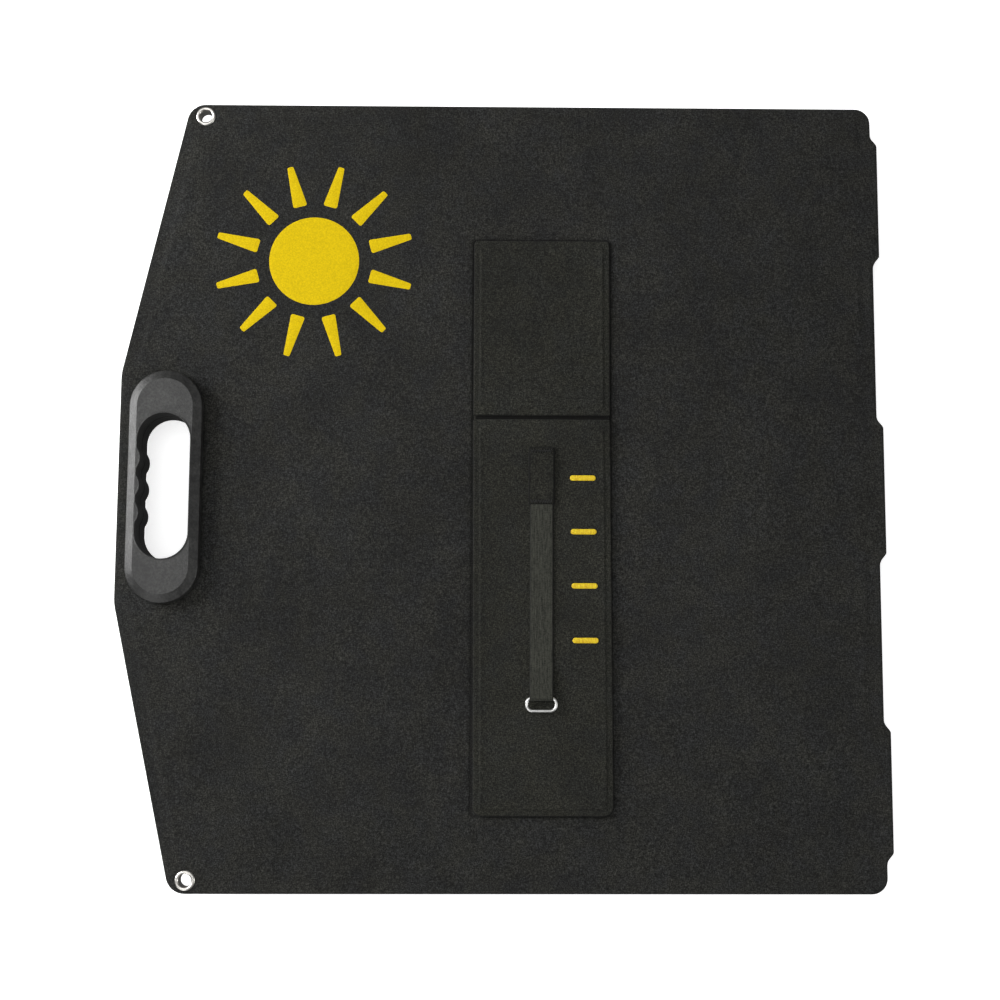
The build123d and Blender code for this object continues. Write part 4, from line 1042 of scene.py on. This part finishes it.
def patch_stitches(side):
    """Two bar tacks of zigzag thread, at the patch's two ends."""
    shell = Shell()
    for row_y in PATCH_ROWS:
        x = np.arange(PATCH_LOW[0] + 1.6, PATCH_HIGH[0] - 1.5, STITCH_STEP)
        swing = np.where(np.arange(len(x)) % 2 == 0, STITCH_SWING, -STITCH_SWING)
        ends = np.stack([x, row_y + swing, np.full(len(x), PATCH_HIGH[2] - 0.34)], 1)
        path = []
        for a, b in zip(ends[:-1], ends[1:]):
            for t in (0.0, 0.5):
                p = a + (b - a) * t
                path.append(p + (0, 0, 0.16 * math.sin(math.pi * t)))
        path.append(ends[-1])
        shell.add(*tube(path, STITCH_RADIUS, 6))
    stitches = shell.build(f"{side}_patch_stitches", DARK_THREAD, side, weld=0)
    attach(stitches, f"{side}_leg")
    return stitches


MARK_COUNT = 4
MARK_PITCH = 41.4
MARK_HALF_LENGTH = (MARKS_HIGH[0] - MARKS_LOW[0]) / 2
MARK_HALF_WIDTH = 2.1
MARK_STITCHES = 38
MARK_DRIFT = 0.65  # each mark stands this much further from the strap than the one above it


def angle_marks(side):
    """Embroidered bars: satin stitches side by side over a raised core."""
    shell = Shell()
    centre_x = (MARKS_HIGH[0] + MARKS_LOW[0]) / 2
    x = np.linspace(-1, 1, MARK_STITCHES * 4 + 1) * MARK_HALF_LENGTH
    turn = np.linspace(0, math.pi, 15)
    base = LEG_HIGH[2] - 0.22
    for step in range(MARK_COUNT):
        y0 = MARKS_HIGH[1] - MARK_HALF_WIDTH - step * MARK_PITCH
        rows = []
        for i, xx in enumerate(x):
            past = max(abs(xx) - (MARK_HALF_LENGTH - MARK_HALF_WIDTH), 0) / MARK_HALF_WIDTH
            width = MARK_HALF_WIDTH * math.sqrt(max(1 - past**2, 0.0)) + 0.02
            thread = abs(math.sin((i / 4) * math.pi))
            width *= 0.97 + 0.04 * thread
            tall = (0.62 + 0.10 * thread) * (0.35 + 0.65 * width / MARK_HALF_WIDTH)
            across = np.full(len(turn), centre_x + xx + step * MARK_DRIFT)
            up = base + (tall + 0.22) * np.sin(turn) ** 0.7
            rows.append(np.stack([across, y0 + width * np.cos(turn), up], 1))
        count = len(turn)
        shell.add(np.concatenate(rows), grid_faces(len(rows), count))
        floor = [rows[i][j] for j in (0, count - 1) for i in range(len(rows))]
        shell.add(floor, grid_faces(2, len(rows)))
    marks = shell.build(f"{side}_mark_thread", YELLOW_THREAD, side)
    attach(marks, f"{side}_leg")
    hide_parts(f"{side}_angle_marks")


# ---- sun print -----------------------------------------------------------

SUN_X, SUN_Y = -147.7, 178.4
SUN_DISC = 35.0
SUN_RAY_START, SUN_RAY_END = 45.0, 78.0
SUN_RAY_ROOT, SUN_RAY_TIP = 5.6, 2.4  # half widths
SUN_RAYS = 12


def sun_print():
    """A plain sun on the upper left: a disc and twelve tapered rays, lying on the cloth."""
    shell = Shell()
    loops = [circle(SUN_X, SUN_Y, SUN_DISC, 96)]
    for i in range(SUN_RAYS):
        turn = math.tau * (i + 0.5) / SUN_RAYS
        direction = np.array([math.cos(turn), math.sin(turn)])
        aside = np.array([-direction[1], direction[0]])
        centre = np.array([SUN_X, SUN_Y])
        corners = [
            centre + direction * SUN_RAY_START - aside * SUN_RAY_ROOT,
            centre + direction * SUN_RAY_END - aside * SUN_RAY_TIP,
            centre + direction * SUN_RAY_END + aside * SUN_RAY_TIP,
            centre + direction * SUN_RAY_START + aside * SUN_RAY_ROOT,
        ]
        loops.append(rounded(corners, [1.6, 1.2, 1.2, 1.6], 3.0))
    for loop in loops:
        xy, faces = plate(loop, (), (0.3,), (), 5.0)
        level = back_level(xy)
        gap = distance(xy, loop)
        shell.add(with_z(xy, level + 0.03 + 0.05 * smooth(gap, 0.0, 0.3)), faces)
    ink = shell.build("front_sun_print", INK, weld=0)
    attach(ink, "front_panel")


# ---- put it together -----------------------------------------------------

for side in SIDES:
    panel_cloth(side)
    spine_cloth(side)
    stand_cloth(side)
    crease_cloth(side)
    strap_webbing(side)
    patch_cloth(side)
    angle_marks(side)
sun_print()

# ---- stage, lights, camera -----------------------------------------------

WHITE = (1.0, 1.0, 1.0, 1.0)
floor_look = Look("pale_floor", 0.85, specular=0.2, Emission_Color=WHITE, Emission_Strength=0.68)
floor_cloud = floor_look.noise(6.0, 3.0)
floor_look.put("Base Color", floor_look.ramp(floor_cloud, [(0.3, (0.90,) * 3), (0.7, (0.92,) * 3)]))
# Wide, so that its far edge stays near the horizon in low views.
bpy.ops.mesh.primitive_plane_add(size=40.0, location=(0, 0, -0.0004))
floor = bpy.context.object
floor.name = "pale_floor"
floor.data.materials.append(floor_look.material)
floor.visible_diffuse = False  # a bright floor would light the object from below
floor.visible_glossy = False


def area_light(name, place, aim, size, watts):
    data = bpy.data.lights.new(name, "AREA")
    data.shape = "RECTANGLE"
    data.size, data.size_y = size
    data.energy = watts
    light = bpy.data.objects.new(name, data)
    light.location = place
    light.rotation_euler = (Vector(aim) - Vector(place)).to_track_quat("-Z", "Y").to_euler()
    bpy.context.scene.collection.objects.link(light)


area_light("key_left", (-1.60, 0.50, 0.66), (-0.05, 0.0, 0.0), (1.0, 0.7), 36.0)
area_light("overhead", (-0.70, 0.30, 2.3), (0.0, 0.0, 0.0), (1.5, 1.2), 13.0)
area_light("low_fill", (-0.9, -1.7, 0.85), (0.0, 0.0, 0.0), (1.2, 0.6), 9.0)
area_light("right_fill", (1.70, -0.55, 0.48), (-0.1, 0.0, 0.0), (0.8, 0.4), 8.5)

# A studio that is bright overhead and dark round the sides.
world = bpy.data.worlds.new("studio_world")
bpy.context.scene.world = world
world.use_nodes = True
sky_nodes, sky_links = world.node_tree.nodes, world.node_tree.links
background = next(n for n in sky_nodes if n.type == "BACKGROUND")
background.inputs["Strength"].default_value = 1.0
ways = sky_nodes.new("ShaderNodeTexCoord")
upward = sky_nodes.new("ShaderNodeSeparateXYZ")
sky = sky_nodes.new("ShaderNodeValToRGB")
sky_links.new(ways.outputs["Generated"], upward.inputs[0])
sky_links.new(upward.outputs["Z"], sky.inputs["Fac"])
sky_links.new(sky.outputs["Color"], background.inputs["Color"])
for element, (position, level) in zip(sky.color_ramp.elements, ((0.25, 0.07), (0.80, 0.46))):
    element.position = position
    element.color = (level, level, level, 1.0)

SENSOR_WIDTH = 36.0
FOCAL_SHARE = 1.6  # focal length over the sensor's width
camera_data = bpy.data.cameras.new("photo_camera")
camera_data.sensor_width = SENSOR_WIDTH
camera_data.lens = SENSOR_WIDTH * FOCAL_SHARE
camera_data.shift_x = -0.03
camera_data.clip_start = 0.05
camera_data.clip_end = 50.0
camera = bpy.data.objects.new("photo_camera", camera_data)
camera.location = Vector((4.45, -157.78, 1241.59)) * MM
camera.rotation_euler = Euler([math.radians(a) for a in (6.967, -0.801, 0.135)], "XYZ")
bpy.context.scene.collection.objects.link(camera)
bpy.context.scene.camera = camera
bpy.context.scene.view_settings.view_transform = "Standard"
